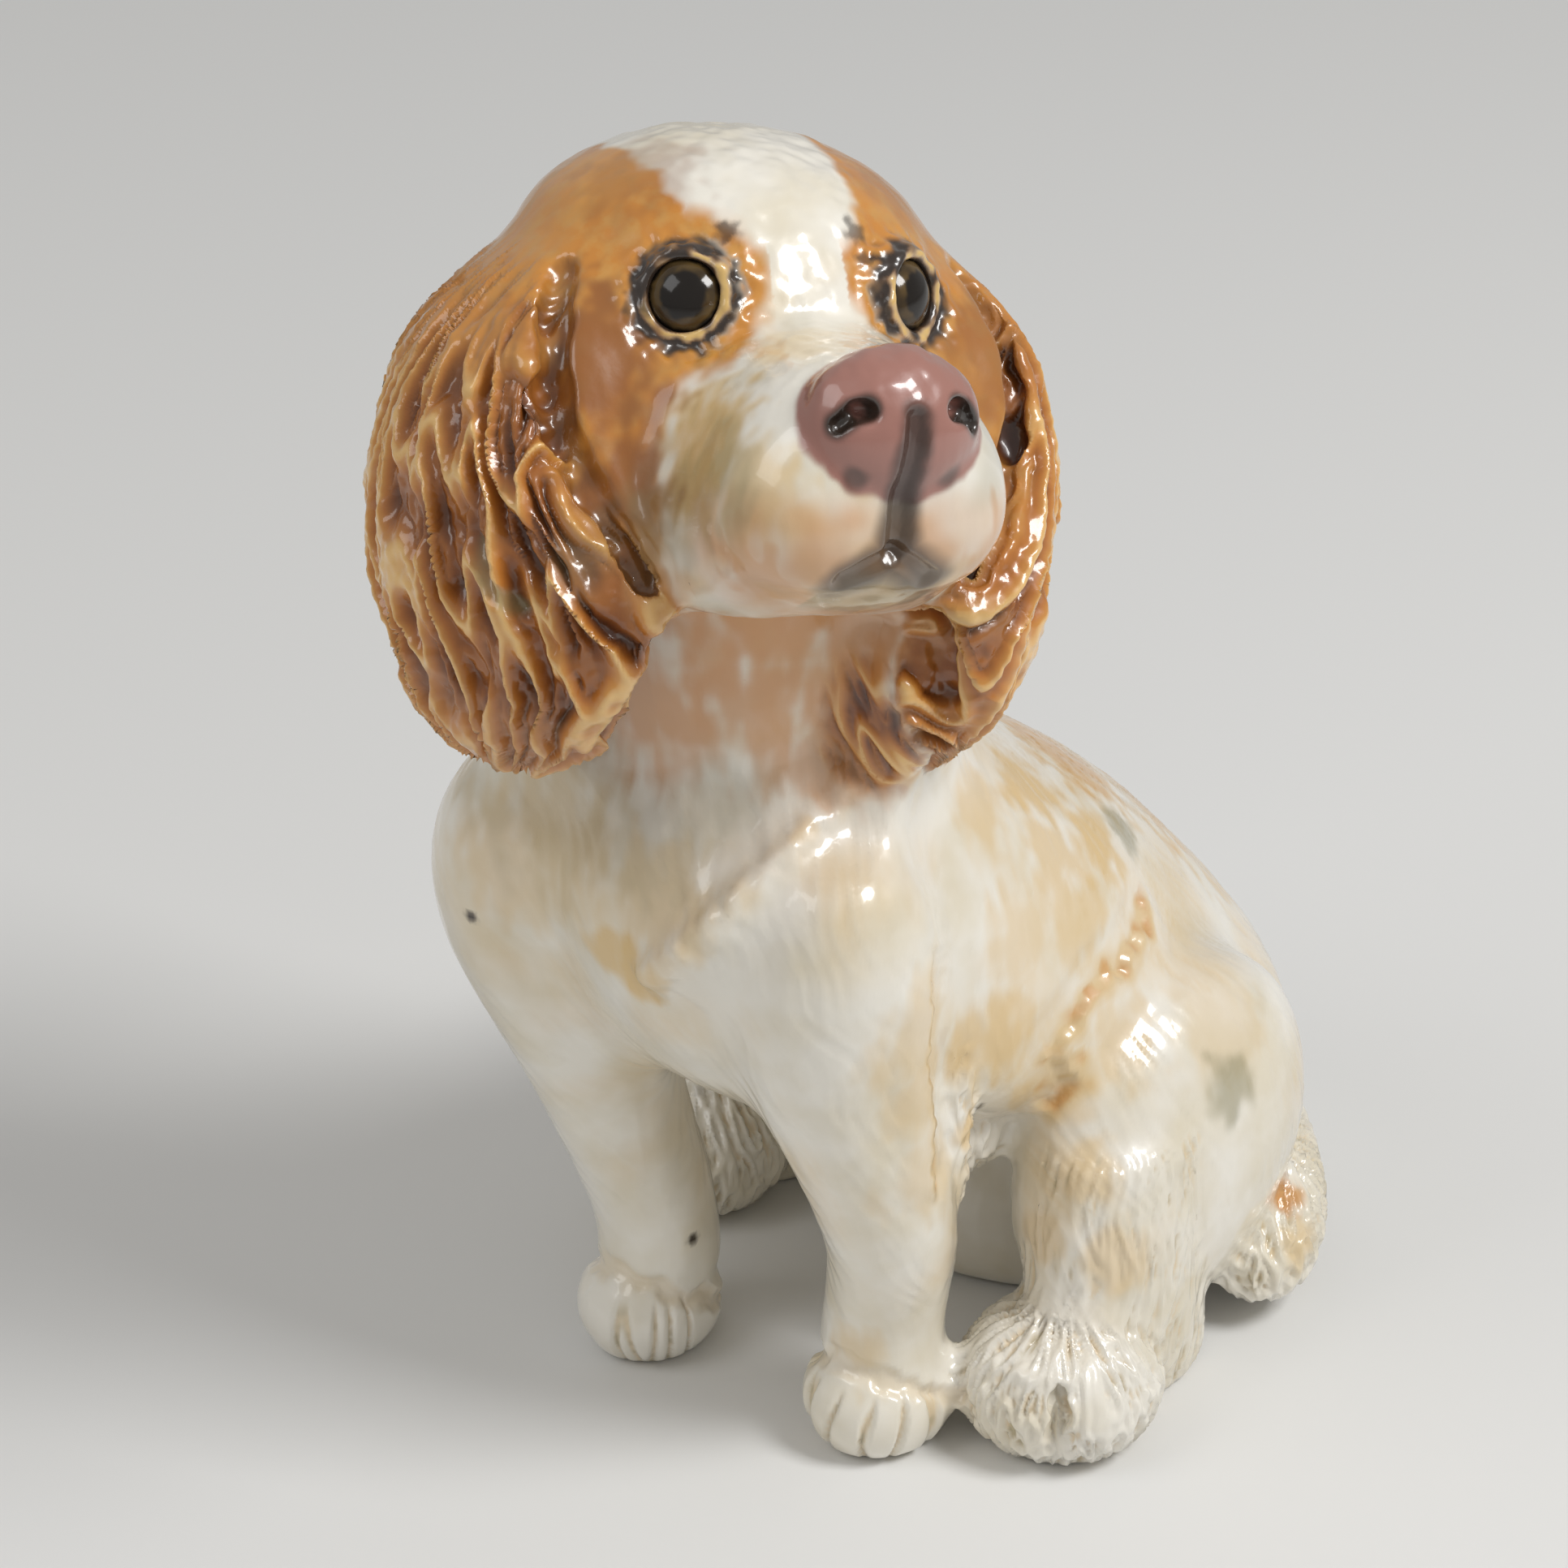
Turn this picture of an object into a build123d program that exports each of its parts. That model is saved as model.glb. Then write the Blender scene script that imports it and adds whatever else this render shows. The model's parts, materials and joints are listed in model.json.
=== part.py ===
from build123d import *
from math import cos, radians, sin
import os

# Torso: hollow pinched body sitting upright on a flat seat
TORSO_HEIGHT = 92.0
TORSO_WIDTH = 63.0
TORSO_DEPTH = 80.0
WALL = 6.0
SEAT_VENT_DIAMETER = 7.0

# Neck: tube between torso and head, bored so that the head vents into the torso
NECK_DIAMETER = 30.0
NECK_BORE = 10.0
NECK_RISE = 37.0

# Head: hollow skull turned to the dog's own left and looking up
HEAD_WIDTH = 45.0
HEAD_LENGTH = 44.0
HEAD_HEIGHT = 46.0
HEAD_HOLLOW_WIDTH = 30.0
HEAD_HOLLOW_LENGTH = 28.0
HEAD_HOLLOW_HEIGHT = 28.0
HEAD_YAW = 64.0
HEAD_PITCH = 16.0
HEAD_ROLL = 10.0

# Face
MUZZLE_WIDTH = 31.5
MUZZLE_HEIGHT = 25.0
MUZZLE_LENGTH = 31.5
JAW_WIDTH = 23.0
JAW_LENGTH = 28.0
JAW_HEIGHT = 13.0
NOSE_WIDTH = 18.0
NOSE_HEIGHT = 15.0
NOSE_DEPTH = 6.0
EYE_DIAMETER = 9.5
EYE_SPACING = 20.8
EYELID_THICKNESS = 2.6
EYE_SPLAY = 33.0
EYE_LIFT = 8.0

# Ears: thick curved flaps of clay
EAR_LENGTH = 57.0
EAR_REACH = 33.5
EAR_THICKNESS = 10.0
EAR_SPREAD = 56.0
EAR_EDGE_ANGLE = 7.0
EAR_LOCKS = 7
EAR_GROOVE_DEPTH = 1.8
EAR_SWING = {"left": 2.5, "right": 3.0}

# Forelegs and forepaws
FORE_STANCE = 31.2
FORE_ADVANCE = {"left": 0.0, "right": 2.5}
FORELEG_DIAMETER = 15.5
FOREPAW_WIDTH = 16.0
FOREPAW_LENGTH = 17.5
FOREPAW_HEIGHT = 15.0
FOREPAW_LIFT = 5.5

# Hind legs and hind paws
HAUNCH_WIDTH = 24.0
HAUNCH_LENGTH = 46.0
HAUNCH_HEIGHT = 44.0
HAUNCH_CLEARANCE = 3.75
HAUNCH_TILT = 12.0
SHANK_WIDTH = 17.5
SHANK_DEPTH = 23.8
SHANK_HEIGHT = 34.0
HIND_STANCE = 62.0
HIND_SETBACK = {"left": 0.0, "right": 11.0}
HIND_PAW_WIDTH = 23.0
HIND_PAW_LENGTH = 23.0
HIND_PAW_HEIGHT = 18.0
HIND_PAW_LIFT = 7.0
HIND_TOE_OUT = 14.0

# Tail laid round the left of the rump
TAIL_DIAMETER = 13.5

# Locks and fringes of clay pressed on to the body
LOCK_WIDTH = 9.0
LOCK_RISE = 2.5
FEATHER_WIDTH = 6.0
TUFT_LENGTH = 16.0
TUFT_WIDTH = 8.0
TUFT_DROP = 12.0

SIDES = {"left": 1, "right": -1}

# Torso rings: height, sideways place, backward place, half width, half depth
TORSO_SHARES = [
    (-0.10, 0.0, 0.280, 0.280, 0.190),
    (0.0, 0.0, 0.300, 0.380, 0.262),
    (0.152, 0.0, 0.312, 0.460, 0.312),
    (0.300, 0.0, 0.291, 0.492, 0.329),
    (0.415, -0.010, 0.125, 0.476, 0.450),
    (0.516, -0.026, -0.009, 0.468, 0.491),
    (0.652, -0.050, -0.129, 0.444, 0.458),
    (0.783, -0.065, -0.241, 0.397, 0.359),
    (0.891, -0.068, -0.281, 0.286, 0.269),
    (1.0, -0.071, -0.331, 0.222, 0.181),
]
SEAT_RING = 1
FIRST_HOLLOW_RING = 2

# Neck ends: height of the lower one in the torso, then forward and upward place of the upper one in the head
COLLAR_SHARE = 0.92
THROAT_SHARES = (0.06, -0.30)

# Skull rings from the throat up: height, forward place, half width, half length
HEAD_SHARES = [
    (-0.52, 0.114, 0.22, 0.23),
    (-0.36, 0.091, 0.38, 0.37),
    (-0.13, 0.011, 0.46, 0.455),
    (0.09, -0.057, 0.50, 0.50),
    (0.26, -0.091, 0.45, 0.455),
    (0.37, -0.102, 0.33, 0.34),
    (0.43, -0.114, 0.18, 0.18),
    (0.445, -0.114, 0.06, 0.06),
]

# Places on the head, forward and upward: hollow, jaw, eyes; then how far an eyelid stands out and how wide it is
HOLLOW_SHARES = (-0.12, -0.06)
JAW_SHARES = (0.53, -0.40)
EYE_SHARES = (0.30, 0.11)
EYELID_SHARES = (0.27, 0.42)

# Muzzle rings from the skull to the tip: forward place, height, half width, half height
MUZZLE_ROOT_SHARE = 0.22
MUZZLE_SHARES = [
    (0.0, -0.38, 0.51, 0.55),
    (0.36, -0.40, 0.50, 0.53),
    (0.66, -0.41, 0.45, 0.49),
    (0.86, -0.40, 0.38, 0.43),
    (0.97, -0.38, 0.26, 0.31),
    (1.0, -0.37, 0.12, 0.14),
]

# Nose pad on the muzzle: forward place, height
NOSE_SHARES = (0.91, -0.16)

# Ear rings from the root down: height, reach, spread, thickness, depth of the partings between locks
EAR_SHARES = [
    (0.22, 0.55, 0.39, 0.45, 0.15),
    (0.167, 0.64, 0.45, 0.62, 0.3),
    (0.09, 0.776, 0.50, 0.85, 0.6),
    (-0.035, 0.925, 0.57, 0.98, 0.9),
    (-0.21, 1.0, 0.70, 1.0, 1.0),
    (-0.35, 1.01, 0.88, 1.0, 1.0),
    (-0.49, 0.97, 1.0, 0.96, 1.0),
    (-0.614, 0.895, 0.93, 0.86, 0.9),
    (-0.70, 0.81, 0.70, 0.64, 0.6),
    (-0.763, 0.70, 0.37, 0.34, 0.25),
]

# Ear hinge: reach and height, then how far behind the middle of the head the ears hang
EAR_HINGE_SHARES = (0.4, 0.2)
EAR_BACK_SHARE = 0.06

# Foreleg stations from the paw up: outward, leaning, backward, height, half width, half depth
FOREPAW_AHEAD_SHARE = 0.325
FORELEG_SHARES = [
    (0.50, 0.0, -0.312, 0.10, 0.46, 0.48),
    (0.535, 0.0, -0.318, 0.24, 0.44, 0.48),
    (0.577, 0.0, -0.345, 0.337, 0.45, 0.52),
    (0.588, -0.021, -0.380, 0.457, 0.52, 0.60),
    (0.598, -0.050, -0.400, 0.554, 0.62, 0.72),
    (0.625, -0.067, -0.425, 0.728, 0.71, 0.77),
    (0.545, -0.063, -0.412, 0.848, 0.39, 0.45),
]

# Elbow feather: place on the leg outward and backward, then its half thickness at stations of the foreleg
FEATHER_PLACE_SHARES = (0.55, 0.95)
FEATHER_SHARES = {2: 0.16, 3: 0.42, 4: 0.50, 5: 0.16}

# Haunch and hind paw: outward, backward
HAUNCH_SHARES = (0.44, 0.12)
HIND_PAW_SHARES = (0.5, -0.162)

# Shank stations from the ground up: height, outward, backward, girth
SHANK_SHARES = [(0.0, 0.46, 0.03, 0.95), (0.45, 0.49, -0.03, 1.0), (1.0, 0.49, -0.02, 0.9)]

# Tail stations from the root to the tip: sideways, backward, height, thickness
TAIL_SHARES = [
    (0.317, 0.475, 0.141, 0.41),
    (0.429, 0.406, 0.120, 0.47),
    (0.516, 0.319, 0.098, 0.50),
    (0.563, 0.244, 0.087, 0.46),
    (0.587, 0.194, 0.087, 0.31),
    (0.595, 0.172, 0.087, 0.13),
]

# Chest lock stations from the neck down: sideways, backward, height, half width, half rise
LOCK_SHARES = [
    (0.203, -0.319, 0.908, 0.17, 0.4),
    (0.213, -0.415, 0.864, 0.42, 0.9),
    (0.167, -0.514, 0.810, 0.50, 1.0),
    (0.098, -0.568, 0.755, 0.42, 0.9),
    (0.040, -0.594, 0.696, 0.17, 0.4),
]

# Belly tuft: sideways, backward, height
TUFT_SHARES = (0.26, -0.14, 0.37)


def largest(shape):
    return max(shape.solids(), key=lambda solid: solid.volume)


def trimmed(shape, *neighbours):
    """What is left of a piece where it is pressed against its neighbours."""
    for neighbour in neighbours:
        rest = shape - neighbour
        if rest.solids():
            shape = rest
    return largest(shape)


def ellipsoid(width, length, height):
    return scale(Sphere(length / 2), by=(width / length, 1, height / length))


def along(stations):
    """Loft of ellipses square to the line through their centres."""
    points = [Vector(*station[0]) for station in stations]
    rings = []
    for i, (_, half_width, half_depth) in enumerate(stations):
        ahead = (points[min(i + 1, len(points) - 1)] - points[max(i - 1, 0)]).normalized()
        upright = Vector(0, 0, 1) if abs(ahead.Z) < 0.5 else Vector(0, -1, 0)
        plane = Plane(origin=points[i], x_dir=upright.cross(ahead), z_dir=ahead)
        rings.append(plane * Ellipse(half_width, half_depth))
    return loft(rings)


def on_torso(side, back, height):
    return (side * TORSO_WIDTH, back * TORSO_DEPTH, height * TORSO_HEIGHT)


def floor_block():
    reach = TORSO_HEIGHT + TORSO_DEPTH
    return Pos(0, 0, -TORSO_HEIGHT / 2) * Box(2 * reach, 2 * reach, TORSO_HEIGHT)


def torso_rings(shares, wall):
    rings = []
    for height, side, back, half_width, half_depth in shares:
        ring = Ellipse(half_width * TORSO_WIDTH - wall, half_depth * TORSO_DEPTH - wall)
        rings.append(Pos(*on_torso(side, back, height)) * ring)
    return rings


def torso_form():
    return loft(torso_rings(TORSO_SHARES, 0)) - floor_block()


def torso_cavity():
    return loft(torso_rings(TORSO_SHARES[FIRST_HOLLOW_RING:], WALL))


def seat_vent():
    back = TORSO_SHARES[SEAT_RING][2] * TORSO_DEPTH
    return Pos(0, back, 0) * Cylinder(SEAT_VENT_DIAMETER / 2, TORSO_HEIGHT / 2)


def head_place():
    _, side, back, _, _ = TORSO_SHARES[-1]
    centre = Pos(side * TORSO_WIDTH, back * TORSO_DEPTH, TORSO_HEIGHT + NECK_RISE)
    return centre * Rot(0, 0, HEAD_YAW) * Rot(-HEAD_PITCH, 0, 0) * Rot(0, HEAD_ROLL, 0)


def on_head(shares, side=0):
    ahead, height = shares
    return Pos(side, -ahead * HEAD_LENGTH, height * HEAD_HEIGHT)


def neck_form(diameter):
    """Straight tube from inside the shoulders to inside the skull."""
    _, side, back, _, _ = TORSO_SHARES[-1]
    collar = on_torso(side, back, COLLAR_SHARE)
    throat = (head_place() * on_head(THROAT_SHARES)).position
    return along([(collar, diameter / 2, diameter / 2), (throat, diameter / 2, diameter / 2)])


def head_form():
    rings = []
    for height, ahead, half_width, half_length in HEAD_SHARES:
        ring = Ellipse(half_width * HEAD_WIDTH, half_length * HEAD_LENGTH)
        rings.append(on_head((ahead, height)) * ring)
    return loft(rings)


def head_hollow():
    return on_head(HOLLOW_SHARES) * ellipsoid(HEAD_HOLLOW_WIDTH, HEAD_HOLLOW_LENGTH, HEAD_HOLLOW_HEIGHT)


def on_muzzle(ahead, height):
    root = MUZZLE_ROOT_SHARE * HEAD_LENGTH
    return (0, -root - ahead * MUZZLE_LENGTH, height * MUZZLE_HEIGHT)


def muzzle_form():
    rings = []
    for ahead, height, half_width, half_height in MUZZLE_SHARES:
        plane = Plane(origin=on_muzzle(ahead, height), x_dir=(1, 0, 0), z_dir=(0, -1, 0))
        rings.append(plane * Ellipse(half_width * MUZZLE_WIDTH, half_height * MUZZLE_HEIGHT))
    return loft(rings)


def jaw_form():
    return on_head(JAW_SHARES) * ellipsoid(JAW_WIDTH, JAW_LENGTH, JAW_HEIGHT)


def nose_form():
    return Pos(*on_muzzle(*NOSE_SHARES)) * ellipsoid(NOSE_WIDTH, 2 * NOSE_DEPTH, NOSE_HEIGHT)


def eye_place(sign):
    centre = on_head(EYE_SHARES, sign * EYE_SPACING / 2)
    return centre * Rot(0, 0, sign * EYE_SPLAY) * Rot(90 - EYE_LIFT, 0, 0)


def eyeball_form(sign):
    return eye_place(sign) * Sphere(EYE_DIAMETER / 2)


def eyelid_form(sign):
    proud, radius = EYELID_SHARES
    ring = Torus(radius * EYE_DIAMETER, EYELID_THICKNESS / 2)
    return eye_place(sign) * Pos(0, 0, proud * EYE_DIAMETER) * ring


def ear_ring(height, reach, spread, thickness, groove):
    """Curved slot about the head's upright axis, rounded at both ends, its outside parted into locks of hair."""
    inner = reach - thickness
    middle = reach - thickness / 2
    edge = spread + EAR_EDGE_ANGLE
    parting = reach - groove

    def spot(radius, angle):
        return (radius * cos(radians(angle)), -radius * sin(radians(angle)), height)

    step = 2 * spread / EAR_LOCKS
    arcs = []
    for lock in range(EAR_LOCKS):
        start = lock * step - spread
        crest = spot(reach, start + step / 2)
        arcs.append(ThreePointArc(spot(parting, start), crest, spot(parting, start + step)))
    arcs.append(ThreePointArc(spot(parting, spread), spot(middle, edge), spot(inner, spread)))
    arcs.append(ThreePointArc(spot(inner, spread), spot(inner, 0), spot(inner, -spread)))
    arcs.append(ThreePointArc(spot(inner, -spread), spot(middle, -edge), spot(parting, -spread)))
    return make_face(arcs)


def ear_form(side):
    rings = []
    for height, reach, spread, thickness, groove in EAR_SHARES:
        sizes = (height * EAR_LENGTH, reach * EAR_REACH, spread * EAR_SPREAD, thickness * EAR_THICKNESS)
        rings.append(ear_ring(*sizes, groove * EAR_GROOVE_DEPTH))
    hinge = Pos(EAR_HINGE_SHARES[0] * EAR_REACH, 0, EAR_HINGE_SHARES[1] * EAR_LENGTH)
    flap = hinge * Rot(0, -EAR_SWING[side], 0) * hinge.inverse() * loft(rings)
    flap = Pos(0, EAR_BACK_SHARE * HEAD_LENGTH, 0) * flap
    if SIDES[side] < 0:
        flap = mirror(flap, about=Plane.YZ)
    return head_place() * flap


def forepaw_form(side):
    out = SIDES[side] * FORE_STANCE / 2
    ahead = FOREPAW_AHEAD_SHARE * TORSO_DEPTH + FORE_ADVANCE[side]
    return Pos(out, -ahead, FOREPAW_LIFT) * ellipsoid(FOREPAW_WIDTH, FOREPAW_LENGTH, FOREPAW_HEIGHT)


def foreleg_stations(side):
    stations = []
    for out, lean, back, height, half_width, half_depth in FORELEG_SHARES:
        x, y, z = on_torso(lean, back, height)
        point = (x + SIDES[side] * out * FORE_STANCE, y - FORE_ADVANCE[side], z)
        stations.append((point, half_width * FORELEG_DIAMETER, half_depth * FORELEG_DIAMETER))
    return stations


def foreleg_form(side):
    return along(foreleg_stations(side))


def feather_form(side):
    out, back = FEATHER_PLACE_SHARES
    leg = foreleg_stations(side)
    stations = []
    for index, girth in FEATHER_SHARES.items():
        (x, y, z), half_width, half_depth = leg[index]
        point = (x + SIDES[side] * out * half_width, y + back * half_depth, z)
        stations.append((point, girth * FEATHER_WIDTH, girth * FEATHER_WIDTH))
    return along(stations)


def haunch_form(side):
    out, back = HAUNCH_SHARES
    x, y, _ = on_torso(SIDES[side] * out, back, 0)
    place = Pos(x, y + HIND_SETBACK[side], HAUNCH_CLEARANCE + HAUNCH_HEIGHT / 2)
    return place * Rot(HAUNCH_TILT, 0, 0) * ellipsoid(HAUNCH_WIDTH, HAUNCH_LENGTH, HAUNCH_HEIGHT)


def hind_paw_form(side):
    out, back = HIND_PAW_SHARES
    place = Pos(SIDES[side] * out * HIND_STANCE, back * TORSO_DEPTH + HIND_SETBACK[side], HIND_PAW_LIFT)
    turn = Rot(0, 0, SIDES[side] * HIND_TOE_OUT)
    return place * turn * ellipsoid(HIND_PAW_WIDTH, HIND_PAW_LENGTH, HIND_PAW_HEIGHT)


def shank_form(side):
    stations = []
    for height, out, back, girth in SHANK_SHARES:
        y = back * TORSO_DEPTH + HIND_SETBACK[side]
        point = (SIDES[side] * out * HIND_STANCE, y, height * SHANK_HEIGHT)
        stations.append((point, girth * SHANK_WIDTH / 2, girth * SHANK_DEPTH / 2))
    return along(stations)


def tail_form():
    stations = []
    for side, back, height, girth in TAIL_SHARES:
        stations.append((on_torso(side, back, height), girth * TAIL_DIAMETER, girth * TAIL_DIAMETER))
    return along(stations)


def chest_lock_form():
    stations = []
    for side, back, height, half_width, half_rise in LOCK_SHARES:
        stations.append((on_torso(side, back, height), half_rise * LOCK_RISE, half_width * LOCK_WIDTH))
    return along(stations)


def tuft_form():
    return Pos(*on_torso(*TUFT_SHARES)) * ellipsoid(TUFT_WIDTH, TUFT_LENGTH, TUFT_DROP)


def head_pieces():
    place = head_place()
    torso = torso_form()
    head = place * head_form()
    muzzle = place * muzzle_form()
    neck = neck_form(NECK_DIAMETER)
    bore = neck_form(NECK_BORE)
    eyes = [place * eyeball_form(sign) for sign in SIDES.values()]
    return {
        "neck": trimmed(neck, torso, head, bore),
        "head_shell": trimmed(head, place * head_hollow(), bore, *eyes),
        "muzzle": trimmed(muzzle, head, *eyes),
        "lower_jaw": trimmed(place * jaw_form(), head, muzzle, neck),
        "nose_pad": trimmed(place * nose_form(), muzzle, head),
    }


def face_side_pieces(side):
    place = head_place()
    head = place * head_form()
    muzzle = place * muzzle_form()
    eye = place * eyeball_form(SIDES[side])
    lid = place * eyelid_form(SIDES[side])
    return {
        side + "_eyeball": largest(eye),
        side + "_eyelid": trimmed(lid, head, muzzle, eye),
        side + "_ear": trimmed(ear_form(side), head, torso_form(), neck_form(NECK_DIAMETER), muzzle),
    }


def foreleg_pieces(side):
    torso = torso_form()
    forepaw = forepaw_form(side)
    foreleg = foreleg_form(side)
    return {
        side + "_forepaw": trimmed(forepaw, floor_block()),
        side + "_foreleg": trimmed(foreleg, torso, forepaw, ear_form(side)),
        side + "_elbow_feather": trimmed(feather_form(side), torso, foreleg, haunch_form(side)),
    }


def hind_leg_pieces(side):
    torso = torso_form()
    floor = floor_block()
    haunch = haunch_form(side)
    hind_paw = hind_paw_form(side)
    return {
        side + "_haunch": trimmed(haunch, torso),
        side + "_hind_paw": trimmed(hind_paw, floor, haunch, torso, forepaw_form(side)),
        side + "_shank": trimmed(shank_form(side), floor, haunch, torso, hind_paw),
    }


def trunk_pieces():
    torso = torso_form()
    haunch = haunch_form("left")
    foreleg = foreleg_form("left")
    ears = [ear_form(side) for side in SIDES]
    return {
        "torso_shell": trimmed(torso, torso_cavity(), seat_vent()),
        "tail": trimmed(tail_form(), torso, haunch, floor_block()),
        "chest_lock": trimmed(chest_lock_form(), torso, neck_form(NECK_DIAMETER), foreleg, *ears),
        "belly_tuft": trimmed(tuft_form(), torso, foreleg, feather_form("left"), haunch),
    }


def build():
    pieces = trunk_pieces() | head_pieces()
    for side in SIDES:
        pieces |= face_side_pieces(side) | foreleg_pieces(side) | hind_leg_pieces(side)
    return pieces


def centred(pieces):
    """The middle of the standing dog comes over the origin, its seat on the ground."""
    boxes = [piece.bounding_box() for piece in pieces.values()]
    middle_x = (min(box.min.X for box in boxes) + max(box.max.X for box in boxes)) / 2
    middle_y = (min(box.min.Y for box in boxes) + max(box.max.Y for box in boxes)) / 2
    shift = Pos(-middle_x, -middle_y, 0)
    return {name: shift * piece for name, piece in pieces.items()}


def main():
    os.makedirs("parts", exist_ok=True)
    for name, piece in centred(build()).items():
        export_step(piece, "parts/" + name + ".step")


main()
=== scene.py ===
"""Glazed ceramic figure of a sitting spaniel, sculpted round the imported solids.

Lengths are in mm until a mesh is made.
"""
import json
import math

import bmesh
import bpy
import numpy as np
import openvdb
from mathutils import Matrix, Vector


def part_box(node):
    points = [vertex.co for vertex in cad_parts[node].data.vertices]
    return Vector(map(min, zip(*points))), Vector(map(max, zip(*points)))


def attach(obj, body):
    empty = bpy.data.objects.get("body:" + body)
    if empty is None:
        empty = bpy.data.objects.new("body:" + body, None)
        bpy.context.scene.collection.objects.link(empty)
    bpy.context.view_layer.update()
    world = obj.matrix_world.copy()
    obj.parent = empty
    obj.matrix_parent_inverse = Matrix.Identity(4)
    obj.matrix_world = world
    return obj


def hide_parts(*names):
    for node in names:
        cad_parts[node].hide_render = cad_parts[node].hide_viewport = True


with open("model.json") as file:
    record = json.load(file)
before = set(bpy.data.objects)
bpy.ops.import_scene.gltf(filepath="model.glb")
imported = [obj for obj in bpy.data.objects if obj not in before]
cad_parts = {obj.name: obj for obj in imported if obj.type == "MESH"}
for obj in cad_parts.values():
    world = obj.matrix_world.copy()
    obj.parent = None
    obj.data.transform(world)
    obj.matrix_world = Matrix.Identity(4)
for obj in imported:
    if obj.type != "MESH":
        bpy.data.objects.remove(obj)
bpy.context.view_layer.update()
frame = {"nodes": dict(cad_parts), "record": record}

MM = 1000.0
# Step of the distance grids, the steps out to which they know a distance, and their margin round a solid
STEP = 0.5
BAND = 14
FAR = BAND * STEP
MARGIN = 7.0
# How far a piece runs on under its neighbours, how fast it sinks there, and how deep the worked skin goes
RIM = 1.5
RIM_DEPTH = 0.5
SKIN_DEPTH = 2.2

# The head's place and turns, and the place and direction of its left eye
HEAD_CENTRE = np.array([-4.47, -18.58, 129.0])
HEAD_TURNS = (("z", 64.0), ("x", -16.0), ("y", 10.0))
SIDES = {"left": 1, "right": -1}
EYE_PLACE = np.array([10.4, 13.2, 5.06])
EYE_AIM = np.array([0.539, 0.830, 0.139])


def turn(axis, degrees):
    c, s = math.cos(math.radians(degrees)), math.sin(math.radians(degrees))
    return {
        "x": np.array([[1, 0, 0], [0, c, -s], [0, s, c]]),
        "y": np.array([[c, 0, s], [0, 1, 0], [-s, 0, c]]),
        "z": np.array([[c, -s, 0], [s, c, 0], [0, 0, 1]]),
    }[axis]


# Columns: the head's own sideways, forward and upward directions
HEAD_AXES = turn(*HEAD_TURNS[0]) @ turn(*HEAD_TURNS[1]) @ turn(*HEAD_TURNS[2]) * np.array([1, -1, 1])


def to_head(points):
    return (points - HEAD_CENTRE) @ HEAD_AXES


def from_head(place):
    return HEAD_CENTRE + HEAD_AXES @ np.array(place, float)


def smoothstep(low, high, x):
    t = np.clip((x - low) / (high - low), 0, 1)
    return t * t * (3 - 2 * t)


def falling(low, high, x):
    return 1 - smoothstep(low, high, x)


def lerp(a, b, t):
    return a + (b - a) * t


def soft_min(a, b, k):
    h = np.maximum(k - np.abs(a - b), 0) / k
    return np.minimum(a, b) - h * h * k / 4


def soft_max(a, b, k):
    return -soft_min(-a, -b, k)


# Noise on a hashed lattice

HASH_BITS = 10
HASH_TOP = 2 ** HASH_BITS - 1
NOISE_GAIN = 1.4


def hashed(x, y, z, seed):
    h = (x * 374761393 + y * 668265263 + z * 2147483647 + seed * 1274126177) & 0xFFFFFFFF
    h = ((h ^ (h >> 13)) * 1274126177) & 0xFFFFFFFF
    h = ((h ^ (h >> 16)) * 2246822519) & 0xFFFFFFFF
    return (h ^ (h >> 15)) & 0xFFFFFFFF


def noise(points, seed):
    """Gradient noise, about -1 to 1."""
    cell = np.floor(points).astype(np.int64)
    t = points - cell
    fade = t * t * t * (t * (t * 6 - 15) + 10)
    total = np.zeros(len(points))
    for corner in range(8):
        bits = [corner >> axis & 1 for axis in range(3)]
        h = hashed(*(cell[:, axis] + bits[axis] for axis in range(3)), seed)
        weight, dot = 1, 0
        for axis, bit in enumerate(bits):
            gradient = (h >> HASH_BITS * axis & HASH_TOP) / (HASH_TOP / 2) - 1
            dot = dot + gradient * (t[:, axis] - bit)
            weight = weight * (fade[:, axis] if bit else 1 - fade[:, axis])
        total += weight * dot
    return total * NOISE_GAIN


def cloud(points, size, seed, octaves=2):
    """Layered noise whose largest lumps are about size mm across."""
    total = np.zeros(len(points))
    gain = 1.0
    for octave in range(octaves):
        total += gain * noise(points * (2 ** octave / size), seed + 17 * octave)
        gain *= 0.5
    return total


# Distance grids

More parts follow.
